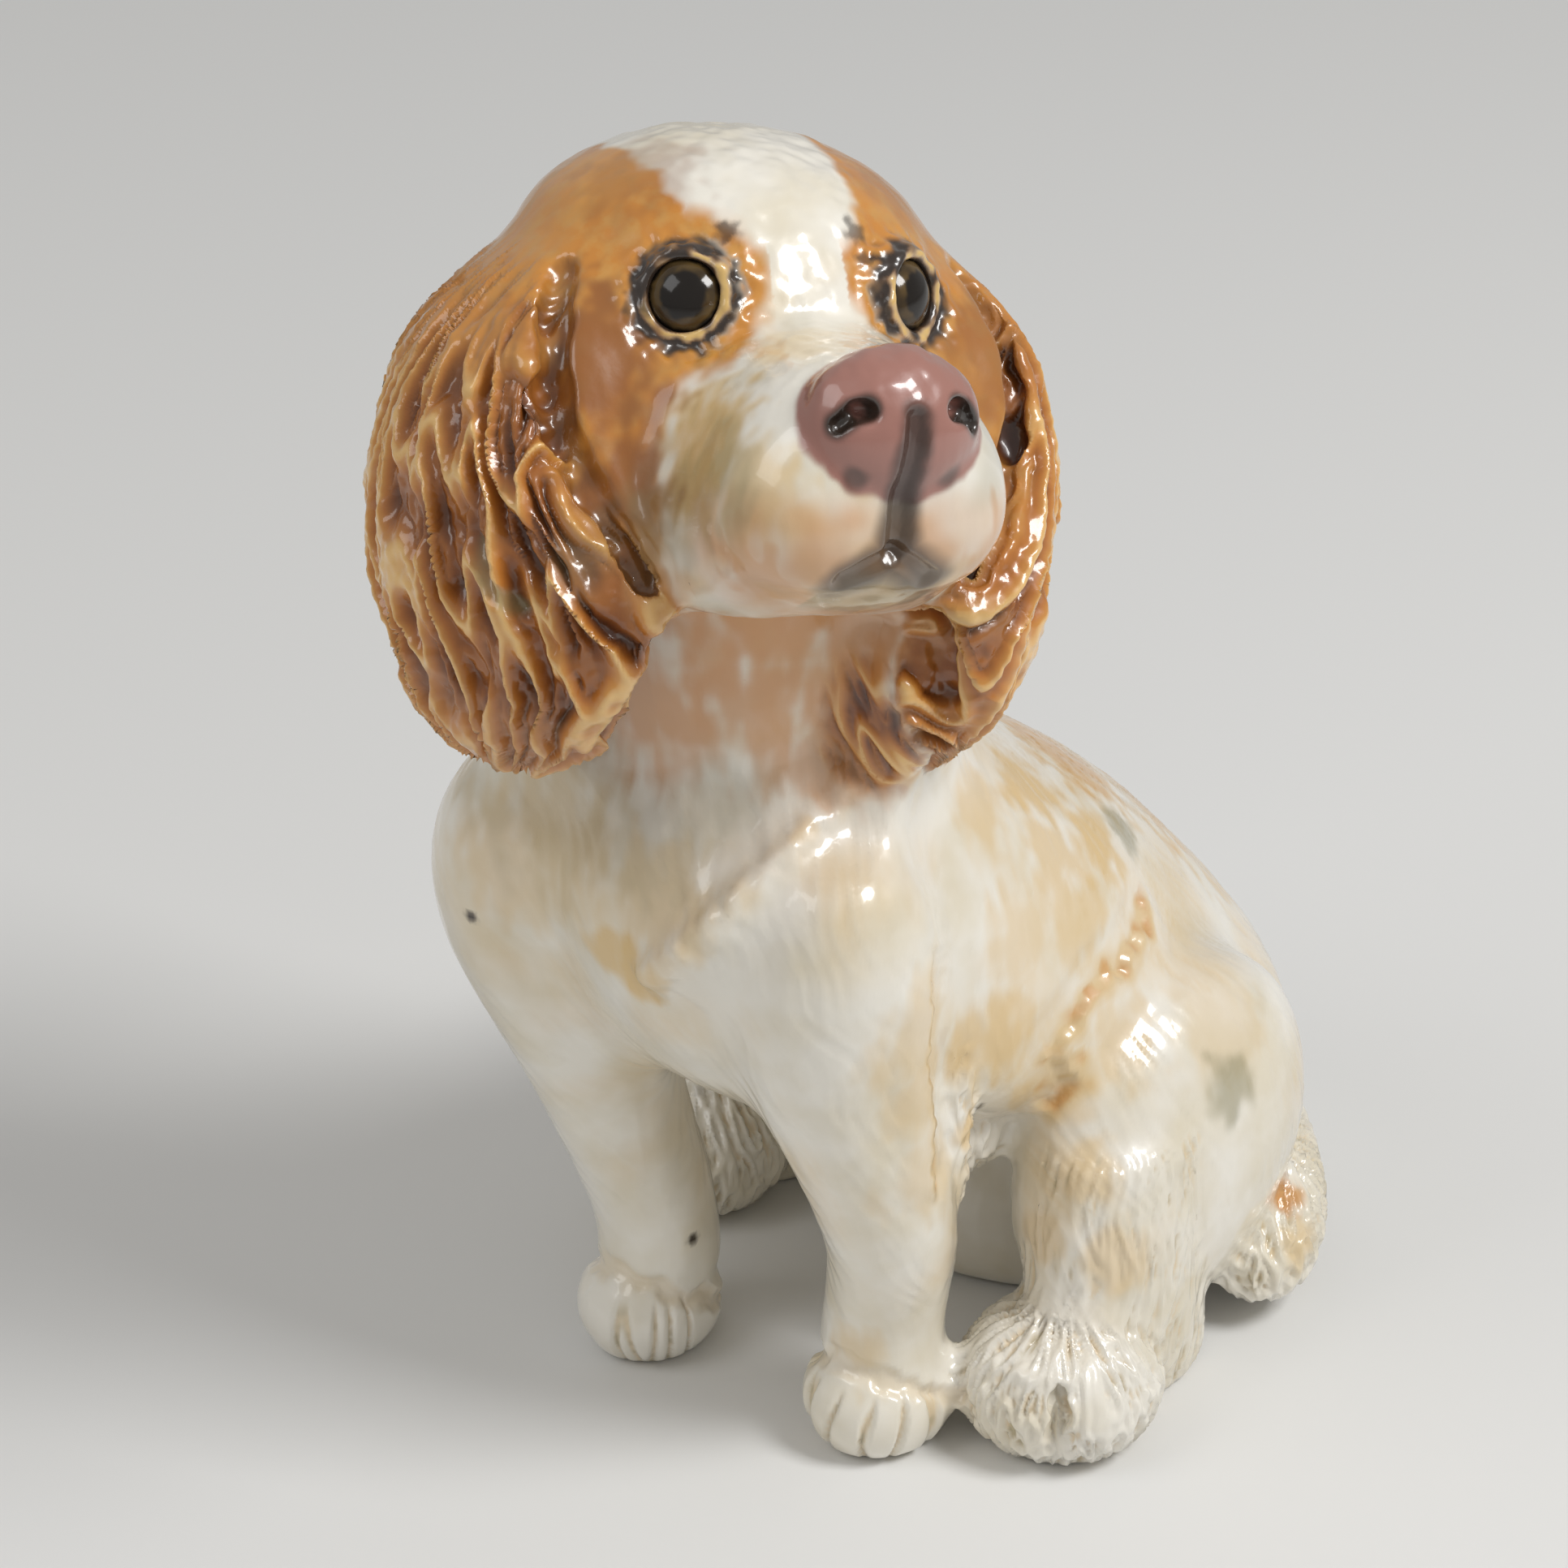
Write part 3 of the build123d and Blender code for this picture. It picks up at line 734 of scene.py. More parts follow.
def carve_ankles(skin):
    """Crease where the hair of each foreleg ends over the round paw."""
    for side in SIDES:
        low, high = (np.array(corner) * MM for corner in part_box(side + "_forepaw"))
        p = skin.points - (low + high) / 2
        angle = np.arctan2(p[:, 0], -p[:, 1])
        gap = skin.points[:, 2] - ANKLE_HEIGHT - ANKLE_RISE * np.cos(angle) + ANKLE_RAGGED * skin.speckle
        gap = np.abs(gap)
        near = falling(1.5, 3.5, distance(side + "_forepaw", skin.points))
        skin.depth -= ANKLE_DEPTH * near * falling(0.2, 1.8, gap)
        skin.add("ochre_and_shade", ANKLE_OCHRE * near * falling(0.3, 2.2, gap))


# Ragged edges of hair, the way towards the side that lies on top, and where they run
FOLDS = {
    "haunch": (
        (0, 0.7, -0.7), [(24, 16, 52), (26, 13.5, 51.5), (27, 5, 51.3), (26.8, -2.4, 47.2), (26.5, -0.2, 41)],
    ),
    "elbow": ((0, -1, 0), [(25.8, -23, 63), (25.4, -23, 56), (24.7, -21, 48.5), (24.8, -21, 42)]),
}
FOLD_LOW, FOLD_HIGH = -0.6, 0.5
FOLD_OCHRE, FOLD_PATCH = 0.7, 0.7


def carve_folds(skin):
    """Ragged steps where the hair of the haunch and the elbow lies over what is behind it."""
    for raised, places in FOLDS.values():
        offset = segment_offset(skin.points, places)
        fade = falling(3.0, 6.5, np.linalg.norm(offset, axis=1))
        across = offset @ np.array(raised) + 1.1 * noise(skin.points / 2.3, 87) + 0.5 * skin.speckle
        skin.depth += fade * lerp(FOLD_LOW, FOLD_HIGH, smoothstep(-0.6, 0.6, across))
        broken = smoothstep(-0.2, 0.5, noise(skin.points / 2.0, 89))
        skin.add("ochre_and_shade", FOLD_OCHRE * fade * falling(0.3, 3.0, np.abs(across)))
        skin.add("patch", FOLD_PATCH * broken * fade * falling(0.2, 1.1, np.abs(across + 0.3)))


CHEST_LOCK = [(15, 86), (13.4, 80), (9.5, 73.5), (5, 68), (2, 65.5)]
LOCK_WIDTH, LOCK_BACK, LOCK_OCHRE = 1.7, -12, 0.5
LUMPS, LUMP_DEPTH, STREAK_DEPTH = (16, 3), 0.22, 0.07
BRUSH, BRUSH_SEED, BRUSH_DEPTH = (1.3, 11.0), 90, 0.12
BODY_MIDDLE, BODY_RADIUS = 10, 30
WASH = (15, 97)


def carve_body(skin):
    """Uneven clay, the lock on the chest, brush marks and a thin wash of ochre."""
    p = skin.points
    skin.depth += LUMP_DEPTH * cloud(p, *LUMPS) + STREAK_DEPTH * skin.streak
    lock = np.exp(-(segment_gap(p[:, [0, 2]], CHEST_LOCK) / LOCK_WIDTH) ** 2) * (p[:, 1] < LOCK_BACK)
    skin.depth += lock * (1.0 + 0.5 * skin.speckle)
    skin.add("ochre_and_shade", LOCK_OCHRE * lock * smoothstep(-0.4, 0.6, skin.streak))
    trunk = smoothstep(12.0, 24.0, p[:, 2]) * falling(84.0, 100.0, p[:, 2])
    chosen = trunk > 0
    if chosen.any():
        q, trunk = p[chosen], trunk[chosen]
        across = np.arctan2(q[:, 0], BODY_MIDDLE - q[:, 1]) * BODY_RADIUS
        brush = strands(across + 0.3 * q[:, 2], q[:, 2], *BRUSH, BRUSH_SEED)
        skin.depth[chosen] += BRUSH_DEPTH * trunk * (brush - 0.5)
        wash = smoothstep(-0.2, 0.7, cloud(q, *WASH))
        skin.add("ochre_and_shade", trunk * wash * (0.3 + 0.2 * (1 - brush)), chosen)


PHILTRUM = [(0, -3.0), (0, -9.0), (0, -16.4)]
MOUTH = [(0, -16.4), (2.2, -17.6), (4.4, -19.0)]
LIP_CORNER = [(12.5, -19.0), (13.5, -22.5), (16.0, -25.0)]
# Where a line of the lips runs, its width and depth, and how dark it is
LIP_LINES = ((PHILTRUM, 1.6, 0.9, 0.85), (MOUTH, 1.4, 0.8, 0.75))
# Place and radius of the dark corners under the nose
NOSE_SHADES = ((4.6, 41.0, -8.6, 2.0), (3.0, 41.0, -6.5, 1.2))
FACE_MIDDLE, FACE_RADIUS, FACE_FOOT = np.array([0, 12, 0]), 48, -30
# Strength of the painted shade along the grooves before the ears, and of the dark corners under the nose
GROOVE_SHADE, SHADE_INK = 0.6, 0.7
CORNER_DEPTH, CORNER_SMOKE, CHIN_SMOKE = 0.5, 0.6, 0.55
BROW_DEPTH = 0.22


def carve_face(skin):
    """Lips, nostrils, painted shade along the grooves before the ears, the chin and the uneven brow."""
    chosen = skin.head[:, 2] > FACE_FOOT
    chosen &= np.linalg.norm(skin.head - FACE_MIDDLE, axis=1) < FACE_RADIUS
    if not chosen.any():
        return
    side, ahead, up = skin.head[chosen].T
    side = np.abs(side)
    flat = np.stack([side, up], 1)
    mirrored = np.stack([side, ahead, up], 1)
    front = smoothstep(30.0, 34.0, ahead)
    speckle = skin.speckle[chosen]
    rough = 0.4 * speckle
    for places, width, deep, ink_and_shade in LIP_LINES:
        gap = segment_gap(flat, places)
        skin.depth[chosen] -= deep * front * falling(0.2 * width, width, gap)
        spread = width + 0.06 * np.maximum(-6 - up, 0)
        skin.add("ink_and_shade", ink_and_shade * front * falling(0.6, 1.5, (gap + rough) / spread), chosen)
    skin.add("ink_and_shade", falling(1.0, 1.9, segment_gap(mirrored, NOSTRIL)), chosen)
    # Painted shade along the groove before each ear
    groove_shade = falling(0.9, 2.2, segment_gap(mirrored, EAR_GROOVE) + rough)
    skin.add("ink_and_shade", GROOVE_SHADE * groove_shade, chosen)
    for *place, radius in NOSE_SHADES:
        gap = np.linalg.norm(mirrored - np.array(place), axis=1)
        skin.add("ink_and_shade", SHADE_INK * falling(0.4, 1.0, (gap + rough) / radius), chosen)
    corner = falling(0.3, 1.2, segment_gap(mirrored[:, 1:], LIP_CORNER))
    corner = corner * smoothstep(6.0, 8.0, side)
    skin.depth[chosen] -= CORNER_DEPTH * corner
    skin.add("smoke_and_shade", CORNER_SMOKE * corner, chosen)
    chin = front * (side < 6) * falling(-19.0, -17.0, up + 0.45 * side)
    skin.add("smoke_and_shade", CHIN_SMOKE * chin, chosen)
    brow = BROW_DEPTH * speckle * smoothstep(-6.0, 2.0, up)
    skin.depth[chosen] += brow * falling(8, 10, side)


# Heights in the head, and the half width and the sideways shift of the white blaze there
BLAZE_HALF = ((-4, 6, 14, 20), (8.5, 7.0, 8.5, 10.5))
BLAZE_SHIFT = ((4, 20), (-1.0, -2.5))
HEAD_FOOT, LIPS_HALF = 96, 16
MUZZLE_SMOKE, MUZZLE_OCHRE = 0.3, 0.5


def paint_head(skin):
    """Orange patches beside the white blaze and muzzle, stained lips and the nose."""
    side, ahead, up = skin.head.T
    head = smoothstep(-21.0, -16.0, up + skin.speckle) * (skin.points[:, 2] > HEAD_FOOT)
    half = np.interp(up, *BLAZE_HALF)
    shift = np.interp(up, *BLAZE_SHIFT)
    blaze = falling(-0.8, 0.8, np.abs(side - shift) - half + 1.1 * skin.speckle)
    blaze = blaze * smoothstep(-15.0, -10.0, ahead + 2 * skin.speckle)
    border = 19.0 + 0.2 * np.maximum(np.abs(side) - 8, 0) + 0.25 * np.maximum(-8 - up, 0)
    white = np.maximum(blaze, smoothstep(-1.5, 1.5, ahead - border + 1.2 * skin.speckle))
    skin.add("patch", head * (1 - white))
    muzzle = smoothstep(16.0, 22.0, ahead) * smoothstep(-30.0, -24.0, up)
    skin.add("smoke_and_shade", MUZZLE_SMOKE * muzzle * smoothstep(0.0, 0.8, cloud(skin.points, 9, 51)))
    skin.add("ochre_and_shade", MUZZLE_OCHRE * muzzle * smoothstep(0.0, 0.7, cloud(skin.points, 8, 57)))
    lips = smoothstep(24.0, 32.0, ahead) * falling(-13.0, -9.0, up) * (np.abs(side) < LIPS_HALF)
    skin.add("blush", lips * (0.35 + 0.4 * smoothstep(-0.4, 0.5, cloud(skin.points, 7, 61))))
    nose = falling(0.5, 1.3, distance("nose_pad", skin.points) + 0.5 * skin.speckle)
    skin.add("mauve", nose)


EYE_AROUND = 16
EYE_RAGGED = 0.45


def paint_eyes(skin):
    """Dark ragged rims with a light bead on the lid, and a patch round each eye."""
    for sign in SIDES.values():
        centre, aim = eye_axis(sign)
        gap = skin.points - centre
        height = gap @ aim
        out = np.sqrt(np.maximum((gap * gap).sum(1) - height ** 2, 0))
        near = smoothstep(-2.0, 0.0, height) * (out < EYE_AROUND)
        ragged = noise(skin.points / 1.4, 81)
        skin.depth += EYE_RAGGED * ragged * near * smoothstep(3.7, 4.4, out) * falling(6.0, 8.0, out)
        dark = near * falling(5.0, 6.2, out + 1.1 * ragged)
        bead = near * falling(0.2, 0.6, np.abs(out - LID_RADIUS - 0.4 * ragged))
        bead = bead * smoothstep(-0.3, 0.1, noise(skin.points / 2.3, 83))
        skin.add("ink_and_shade", dark * (1 - bead))
        skin.add("ochre_and_shade", bead)
        skin.lower("patch", 1 - bead)
        halo = near * falling(7.0, 9.5, out + skin.speckle) * (skin.head[:, 0] * sign > 4)
        skin.add("patch", halo * (1 - dark))


# Place, radius and strength of each spot of paint, in the head's own directions and in the frame's
HEAD_SPOTS = {
    "ochre_and_shade": ((-13, 27, -8, 10, 0.85), (-9, 34, -12, 7, 0.6), (-4, 26, 3, 6, 0.35), (0, 16, -26, 12, 0.6)),
    "smoke_and_shade": ((-13, 29, -11, 9, 0.45), (-12, 22, -16, 7, 0.4), (9, 34, -8, 5, 0.3), (-6, 20, -24, 8, 0.3)),
    "blush": ((-9, 34, -17, 8, 0.8), (9, 34, -15, 8, 0.75), (-14, 18, -20, 6, 0.5), (0, 14, -27, 13, 0.75),
              (-9, 13, -28, 10, 0.75), (9, 14, -28, 10, 0.75)),
    "patch": ((-15, 17, -18, 5, 0.6), (15, 17, -18, 5, 0.5), (0, 13, -30, 13, 0.6), (-10, 12, -30, 10, 0.6)),
    # Brown on the cheeks and beside the ears is partly brown paint and partly painted shade cast by the ears
    "brown_and_shade": ((-20, 13, -2, 12, 0.85), (-18, 17, -13, 8, 0.85), (-13, 4, 16, 9, 0.4), (20, 13, -2, 10, 0.65),
              (18, 17, -13, 7, 0.6), (14, 6, 14, 7, 0.35)),
    "ink_and_shade": ((-8.2, 16.5, 13.0, 1.8, 0.75), (-8.8, 17.0, 10.5, 1.4, 0.7), (6.2, 16.5, 12.5, 1.8, 0.7),
            (6.8, 17.0, 9.0, 1.4, 0.7), (-15.5, 9.5, 2.0, 2.2, 0.75), (15.0, 10.5, 1.0, 1.8, 0.7)),
}
SPOTS = {
    "patch": (
        (6, 25, 65, 11, 0.5), (7, 40, 52, 10, 0.35), (36, 30, 14.6, 3.5, 0.9), (-18, 22, 62, 9, 0.4),
    ),
    "ochre_and_shade": (
        (6, 25, 65, 15, 0.95), (7, 40, 52, 14, 0.9), (12, 47, 42, 10, 0.8), (20, 14, 63, 8, 0.8),
        (15, 7, 72, 8, 0.8), (-18, 22, 62, 13, 0.8), (-24, 8, 52, 9, 0.6), (0, -40.5, 65, 6, 0.9),
        (-4, -39.5, 66, 5, 0.8), (24, 5, 60, 9, 0.6), (21, 3, 67, 7, 0.6), (24, -6, 62, 8, 0.5),
        (18, -5, 75, 7, 0.5), (20, -22, 40, 8, 0.4), (22, -25, 60, 9, 0.45), (32, -4, 33.6, 6, 0.5),
        (28, -6, 25, 5, 0.5), (24, -14, 40.6, 3, 0.7), (25, -5, 41.6, 4, 0.6), (40.6, 27.7, 11, 4, 0.5),
        (36, 18, 45, 10, 0.3), (25, -10, 52, 8, 0.75), (30, 6, 46, 7, 0.5), (20, -24, 52, 7, 0.5),
        # The last three ochre spots, on the chest under the ears, are painted shade in a warm yellow; the
        # others are ochre glaze
        (35, -2, 24, 6, 0.5), (18, -26, 14, 5, 0.45), (-12, -38, 76, 12, 0.55), (2, -40, 74, 9, 0.5),
        (-20, -36, 70, 10, 0.45),
    ),
    "smoke_and_shade": (
        # The first three smoke spots are grey smudges; the last four, on the chest under the ears, are
        # painted shade
        (17.5, 22, 60, 4.5, 0.7), (38, 16, 37, 5, 0.65), (12.8, -15, 34, 2.4, 0.6), (-12, -36, 78, 13, 0.25),
        (0, -38, 78, 9, 0.25), (-22, -36, 78, 8, 0.25), (6, -32, 85, 6, 0.25),
    ),
    "blush": (
        (-3, -31, 95, 13, 0.85), (6, -28, 95, 11, 0.75), (10.6, -23, 87, 6, 0.6), (14, -20.4, 84, 5, 0.5),
        (-14, -38, 92, 9, 0.5),
    ),
    # The ink spots are dark dots painted as the shade inside three small holes, which are not carved
    "ink_and_shade": ((22.6, -10.5, 42, 1, 1), (-9, -21, 16.3, 1, 1), (-23, -40.6, 62.8, 1, 1)),
}
TOE_INK = 0.7


def laid(spots, to_frame):
    """Kind of paint, place on the surface, radius and strength of each spot."""
    return [
        (name, settled(to_frame(place)), radius, strength)
        for name, rows in spots.items() for *place, radius, strength in rows
    ]


spots_laid = laid(SPOTS, np.array) + laid(HEAD_SPOTS, from_head)


def paint_spots(skin):
    """Spots with ragged edges, some of them painted shade, specks of ink, dark dots painted as the shade in
    small holes, and the dark split between the toes.
    """
    for name, centre, radius, strength in spots_laid:
        gap = np.linalg.norm(skin.points - centre, axis=1) / radius
        if name == "ink_and_shade":
            ragged = gap + 0.7 * noise(skin.points, 85) * (radius > 1)
        else:
            ragged = gap + 0.4 * skin.streak + 0.15 * skin.speckle
        skin.add(name, strength * falling(0.35, 1.0, ragged))
    split = segment_gap(skin.points, TOE_SPLIT) + 0.3 * skin.speckle
    skin.add("ink_and_shade", TOE_INK * falling(0.5, 1.3, split))


WORK = (
    carve_ears, carve_throat, carve_tufts, carve_ankles, carve_folds, carve_body, carve_face, paint_head,
    paint_eyes, paint_spots,
)


def worked(points):
    """The skin at these places, carved and painted."""
    skin = Skin(points)
    for work in WORK:
        work(skin)
    return skin


# Meshes

def add_mesh(name, points, quads, normals, paint):
    mesh = bpy.data.meshes.new(name)
    mesh.vertices.add(len(points))
    mesh.vertices.foreach_set("co", (points / MM).astype(np.float32).ravel())
    mesh.loops.add(quads.size)
    mesh.loops.foreach_set("vertex_index", quads.astype(np.int32).ravel())
    mesh.polygons.add(len(quads))
    mesh.polygons.foreach_set("loop_start", np.arange(0, quads.size, quads.shape[1], dtype=np.int32))
    mesh.polygons.foreach_set("use_smooth", np.ones(len(quads), bool))
    mesh.update(calc_edges=True)
    for label, values in paint.items():
        layer = mesh.attributes.new(label, "FLOAT", "POINT")
        layer.data.foreach_set("value", np.clip(values, 0, 1).astype(np.float32))
    mesh.normals_split_custom_set_from_vertices(normals.tolist())
    obj = bpy.data.objects.new(name, mesh)
    bpy.context.scene.collection.objects.link(obj)
    return obj


# Steps of a mesh to one step of the distance grids, by kind of piece, where it is not 1
FINENESS = {
    "torso_shell": 0.86, "head_shell": 1.4, "ear": 1.55, "muzzle": 2, "nose_pad": 2, "lower_jaw": 1.5,
    "eyelid": 2, "forepaw": 1.6, "hind_paw": 1.6, "shank": 1.3, "tail": 1.6, "belly_tuft": 1.6,
    "elbow_feather": 1.5,
}
slots = {row["node"]: row["material_slot"] for row in frame["record"]["subparts"]}
FLOOR_LIFT = 0.2
CARVED_FROM = (0.0, 1.5)


def above_floor(points):
    """Points under the floor are lifted on to it without falling together."""
    z = points[:, 2]
    lifted = FLOOR_LIFT * np.exp(np.minimum(z / FLOOR_LIFT - 1, 0))
    return np.column_stack([points[:, :2], np.where(z < FLOOR_LIFT, lifted, z)])


def build_piece(node):
    """One piece's share of the skin, carved, painted and tucked under its neighbours."""
    kind = node.removeprefix("left_").removeprefix("right_")
    rough, quads, beyond = piece_surface(node, FINENESS.get(kind, 1))
    value, slope = whole.at(rough, True)
    shallow = smoothstep(-SKIN_DEPTH, -SKIN_DEPTH / 2, value)
    outside = np.flatnonzero(shallow > 0)
    places, out = on_surface(rough[outside], value[outside], slope[outside])
    skin = worked(places)
    depth = skin.depth * smoothstep(*CARVED_FROM, places[:, 2])
    outer = rough.copy()
    outer[outside] = places + out * depth[:, None]
    outer = above_floor(outer)
    smooth = face_normals(outer, quads, (shallow[quads] > 0.5).all(1))
    rim = np.zeros(len(rough))
    rim[outside] = RIM_DEPTH * np.maximum(beyond.at(places), 0) ** 2
    tucked = outer.copy()
    tucked[outside] -= out * rim[outside, None]
    points = lerp(rough, above_floor(tucked), shallow[:, None])
    paint = {}
    for name, values in skin.paint.items():
        paint[name] = np.zeros(len(rough))
        paint[name][outside] = values
    return add_mesh(node + "_glazed", points, quads, smooth, paint)


EYE_SUBDIVISIONS = 6
SPARK, IRIS_WASH = (1.2, 71), (2.2, 73)


def build_eye(node):
    """A smooth dark ball with a faint iris round the pupil."""
    low, high = (np.array(corner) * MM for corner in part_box(node))
    ball = bmesh.new()
    bmesh.ops.create_icosphere(ball, subdivisions=EYE_SUBDIVISIONS, radius=1.0)
    ball.verts.index_update()
    unit = np.array([v.co[:] for v in ball.verts])
    faces = np.array([[v.index for v in f.verts] for f in ball.faces])
    ball.free()
    points = (low + high) / 2 + unit * (high - low).max() / 2
    centre, aim = eye_axis(1 if node.startswith("left") else -1)
    gap = points - centre
    out = np.linalg.norm(gap - (gap @ aim)[:, None] * aim, axis=1)
    spark = cloud(points, *SPARK)
    iris = smoothstep(2.1, 2.6, out + 0.3 * spark) * falling(3.1, 3.6, out + 0.5 * spark)
    iris = iris * (gap @ aim > 0)
    paint = {name: np.zeros(len(points)) for name in PAINTS}
    paint["ink_and_shade"] += 1
    paint["iris"] = iris * (0.2 + 0.4 * smoothstep(-0.5, 0.6, cloud(points, *IRIS_WASH)))
    return add_mesh(node + "_glazed", points, faces, unit, paint)


# Glazes

CREAM = ((0.86, 0.82, 0.73), (0.76, 0.69, 0.54))
ORANGE = ((0.60, 0.24, 0.035), (0.78, 0.42, 0.10), (0.36, 0.12, 0.020))
# Colours from the hollows of the hair to its ridges
HAIR = (
    (0.0, (0.08, 0.022, 0.006)), (0.35, (0.25, 0.075, 0.011)), (0.68, (0.49, 0.175, 0.028)),
    (0.9, (0.62, 0.28, 0.06)), (1.0, (0.82, 0.52, 0.20)),
)
# Colours of the painted layers; ochre, brown, smoke and ink are also used for painted shade
LAYERS = {
    "ochre_and_shade": (0.72, 0.48, 0.17), "brown_and_shade": (0.26, 0.085, 0.018), "blush": (0.64, 0.31, 0.11),
    "smoke_and_shade": (0.28, 0.25, 0.13), "mauve": (0.37, 0.17, 0.135), "ink_and_shade": (0.032, 0.020, 0.014),
    "iris": (0.18, 0.11, 0.035),
}
# Roughness and coat of the clear glaze, and of the eyes
GLOSS = (0.32, 0.8)
EYE_GLOSS = (0.12, 0.0)
COAT_ROUGHNESS = 0.08
PUPIL = (0.010, 0.007, 0.005)
# Scale of a mottle, and the noise values where it begins and ends
BROAD, FINE = (90.0, 0.42, 0.68), (420.0, 0.45, 0.65)
MOTTLE_DETAIL = 3.0
BLOTCHES = 0.4
BUMP_STRENGTH, BUMP_DISTANCE = 0.12, 0.0004
# Sockets of a mix node that mixes colours: amount, first and second colour, and the result
MIX_INPUTS, MIX_RESULT = (0, 6, 7), 2


class Tree:
    """Short forms for building a material's nodes."""

    def __init__(self, material):
        self.nodes = material.node_tree.nodes
        self.links = material.node_tree.links

    def put(self, socket, value):
        if isinstance(value, bpy.types.NodeSocket):
            self.links.new(value, socket)
        else:
            socket.default_value = (*value, 1) if isinstance(value, tuple) else value

    def mask(self, name):
        node = self.nodes.new("ShaderNodeAttribute")
        node.attribute_name = name
        return node.outputs["Fac"]

    def mixed(self, a, b, amount):
        node = self.nodes.new("ShaderNodeMix")
        node.data_type = "RGBA"
        for index, value in zip(MIX_INPUTS, (amount, a, b)):
            self.put(node.inputs[index], value)
        return node.outputs[MIX_RESULT]

    def mottle(self, scale, low, high):
        place = self.nodes.new("ShaderNodeTexCoord")
        grain = self.nodes.new("ShaderNodeTexNoise")
        grain.inputs["Scale"].default_value = scale
        grain.inputs["Detail"].default_value = MOTTLE_DETAIL
        self.links.new(place.outputs["Object"], grain.inputs["Vector"])
        span = self.nodes.new("ShaderNodeMapRange")
        self.links.new(grain.outputs["Fac"], span.inputs["Value"])
        span.inputs["From Min"].default_value = low
        span.inputs["From Max"].default_value = high
        return span.outputs["Result"], grain.outputs["Fac"]

    def ramp(self, stops, value):
        node = self.nodes.new("ShaderNodeValToRGB")
        elements = node.color_ramp.elements
        elements[0].position, elements[0].color = stops[0][0], (*stops[0][1], 1)
        elements[1].position, elements[1].color = stops[-1][0], (*stops[-1][1], 1)
        for position, colour in stops[1:-1]:
            elements.new(position).color = (*colour, 1)
        self.put(node.inputs["Fac"], value)
        return node.outputs["Color"]


def glaze(slot):
    material = bpy.data.materials.new(slot)
    material.use_nodes = True
    tree = Tree(material)
    broad, _ = tree.mottle(*BROAD)
    fine, grain = tree.mottle(*FINE)
    colour = tree.mixed(*CREAM, broad)
    # Ochre glaze, with a painted warm shade on the chest under the ears
    colour = tree.mixed(colour, LAYERS["ochre_and_shade"], tree.mask("ochre_and_shade"))
    orange = tree.mixed(tree.mixed(ORANGE[0], ORANGE[1], broad), ORANGE[2], fine)
    orange = tree.mixed(tree.mixed(ORANGE[0], ORANGE[1], fine), orange, BLOTCHES)
    colour = tree.mixed(colour, orange, tree.mask("patch"))
    # Brown paint, partly painted shade on the cheeks beside the ears
    colour = tree.mixed(colour, LAYERS["brown_and_shade"], tree.mask("brown_and_shade"))
    colour = tree.mixed(colour, tree.ramp(HAIR, tree.mask("ridge")), tree.mask("hair"))
    # Smoke and ink carry painted shade as well: under the ears, along the ear grooves and in small holes
    for name in ("blush", "smoke_and_shade", "mauve", "ink_and_shade", "iris"):
        layer = PUPIL if name == "ink_and_shade" and slot == "dark_glaze" else LAYERS[name]
        colour = tree.mixed(colour, layer, tree.mask(name))
    shader = tree.nodes["Principled BSDF"]
    tree.put(shader.inputs["Base Color"], colour)
    roughness, coat = EYE_GLOSS if slot == "dark_glaze" else GLOSS
    shader.inputs["Roughness"].default_value = roughness
    shader.inputs["Coat Weight"].default_value = coat
    shader.inputs["Coat Roughness"].default_value = COAT_ROUGHNESS
    bump = tree.nodes.new("ShaderNodeBump")
    bump.inputs["Strength"].default_value = BUMP_STRENGTH
    bump.inputs["Distance"].default_value = BUMP_DISTANCE
    tree.put(bump.inputs["Height"], grain)
    tree.put(shader.inputs["Normal"], bump.outputs["Normal"])
    return material


glazes = {slot: glaze(slot) for slot in sorted(set(slots.values()))}
for node in NODES:
    piece = build_eye(node) if node in EYES else build_piece(node)
    piece.data.materials.append(glazes[slots[node]])
    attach(piece, "root")
    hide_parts(node)


# Stage

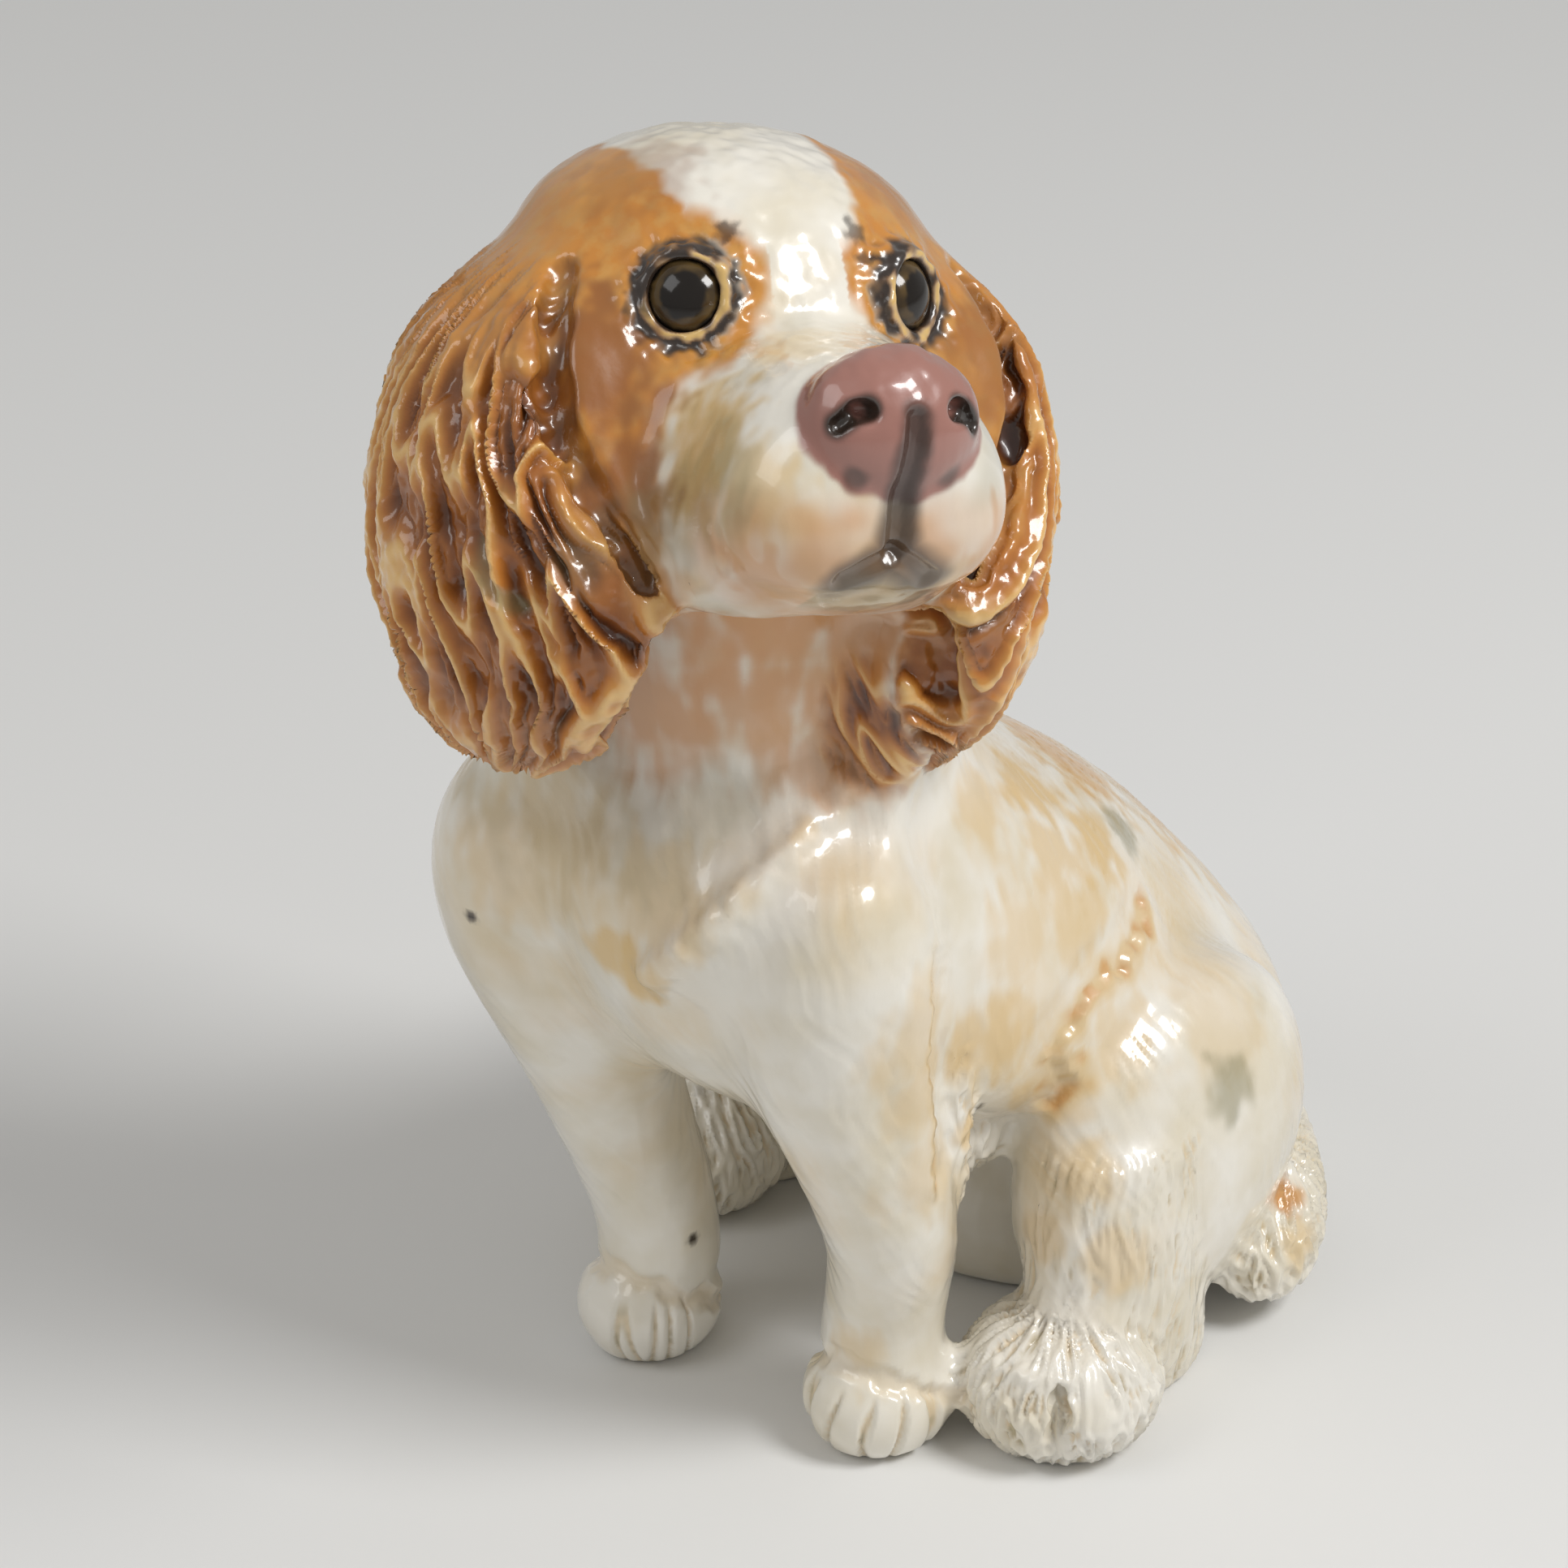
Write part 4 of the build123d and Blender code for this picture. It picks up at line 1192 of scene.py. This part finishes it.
AZIMUTH = 39.0
ELEVATION = 30.0
DISTANCE = 0.55
TARGET = np.array([-0.0070, -0.0071, 0.0700])
LENS = 115.8
SENSOR = 36.0
FLOOR_REACH = 3.0
FLOOR_COLOUR = (0.78, 0.78, 0.77, 1)
FLOOR_ROUGHNESS = 0.7
# Azimuth, elevation, distance, size and power
LAMPS = {"key": (105, 50, 0.9, 0.30, 5.0), "fill": (-25, 45, 1.0, 0.5, 1.7)}
WORLD_COLOUR = (0.97, 0.96, 0.94, 1)
WORLD_LEVEL = 0.38


def add_floor():
    mesh = bpy.data.meshes.new("floor")
    r = FLOOR_REACH
    mesh.from_pydata([(-r, -r, 0), (r, -r, 0), (r, r, 0), (-r, r, 0)], [], [(0, 1, 2, 3)])
    material = bpy.data.materials.new("floor")
    material.use_nodes = True
    shader = material.node_tree.nodes["Principled BSDF"]
    shader.inputs["Base Color"].default_value = FLOOR_COLOUR
    shader.inputs["Roughness"].default_value = FLOOR_ROUGHNESS
    mesh.materials.append(material)
    floor = bpy.data.objects.new("floor", mesh)
    bpy.context.scene.collection.objects.link(floor)


def aimed(name, data, azimuth, elevation, away):
    """Object that looks at the middle of the figure from a direction."""
    a, e = math.radians(azimuth), math.radians(elevation)
    back = np.array([math.sin(a) * math.cos(e), -math.cos(a) * math.cos(e), math.sin(e)])
    obj = bpy.data.objects.new(name, data)
    bpy.context.scene.collection.objects.link(obj)
    obj.location = TARGET + back * away
    obj.rotation_euler = Vector(-back).to_track_quat("-Z", "Y").to_euler()
    return obj


def add_camera():
    data = bpy.data.cameras.new("camera")
    data.lens = LENS
    data.sensor_width = SENSOR
    bpy.context.scene.camera = aimed("camera", data, AZIMUTH, ELEVATION, DISTANCE)


def add_lights():
    for name, (azimuth, elevation, away, size, power) in LAMPS.items():
        data = bpy.data.lights.new(name, "AREA")
        data.size = size
        data.energy = power
        aimed(name, data, azimuth, elevation, away)
    world = bpy.data.worlds.new("studio")
    world.use_nodes = True
    sky = world.node_tree.nodes["Background"]
    sky.inputs["Color"].default_value = WORLD_COLOUR
    sky.inputs["Strength"].default_value = WORLD_LEVEL
    bpy.context.scene.world = world


add_floor()
add_camera()
add_lights()
bpy.context.scene.view_settings.view_transform = "Standard"
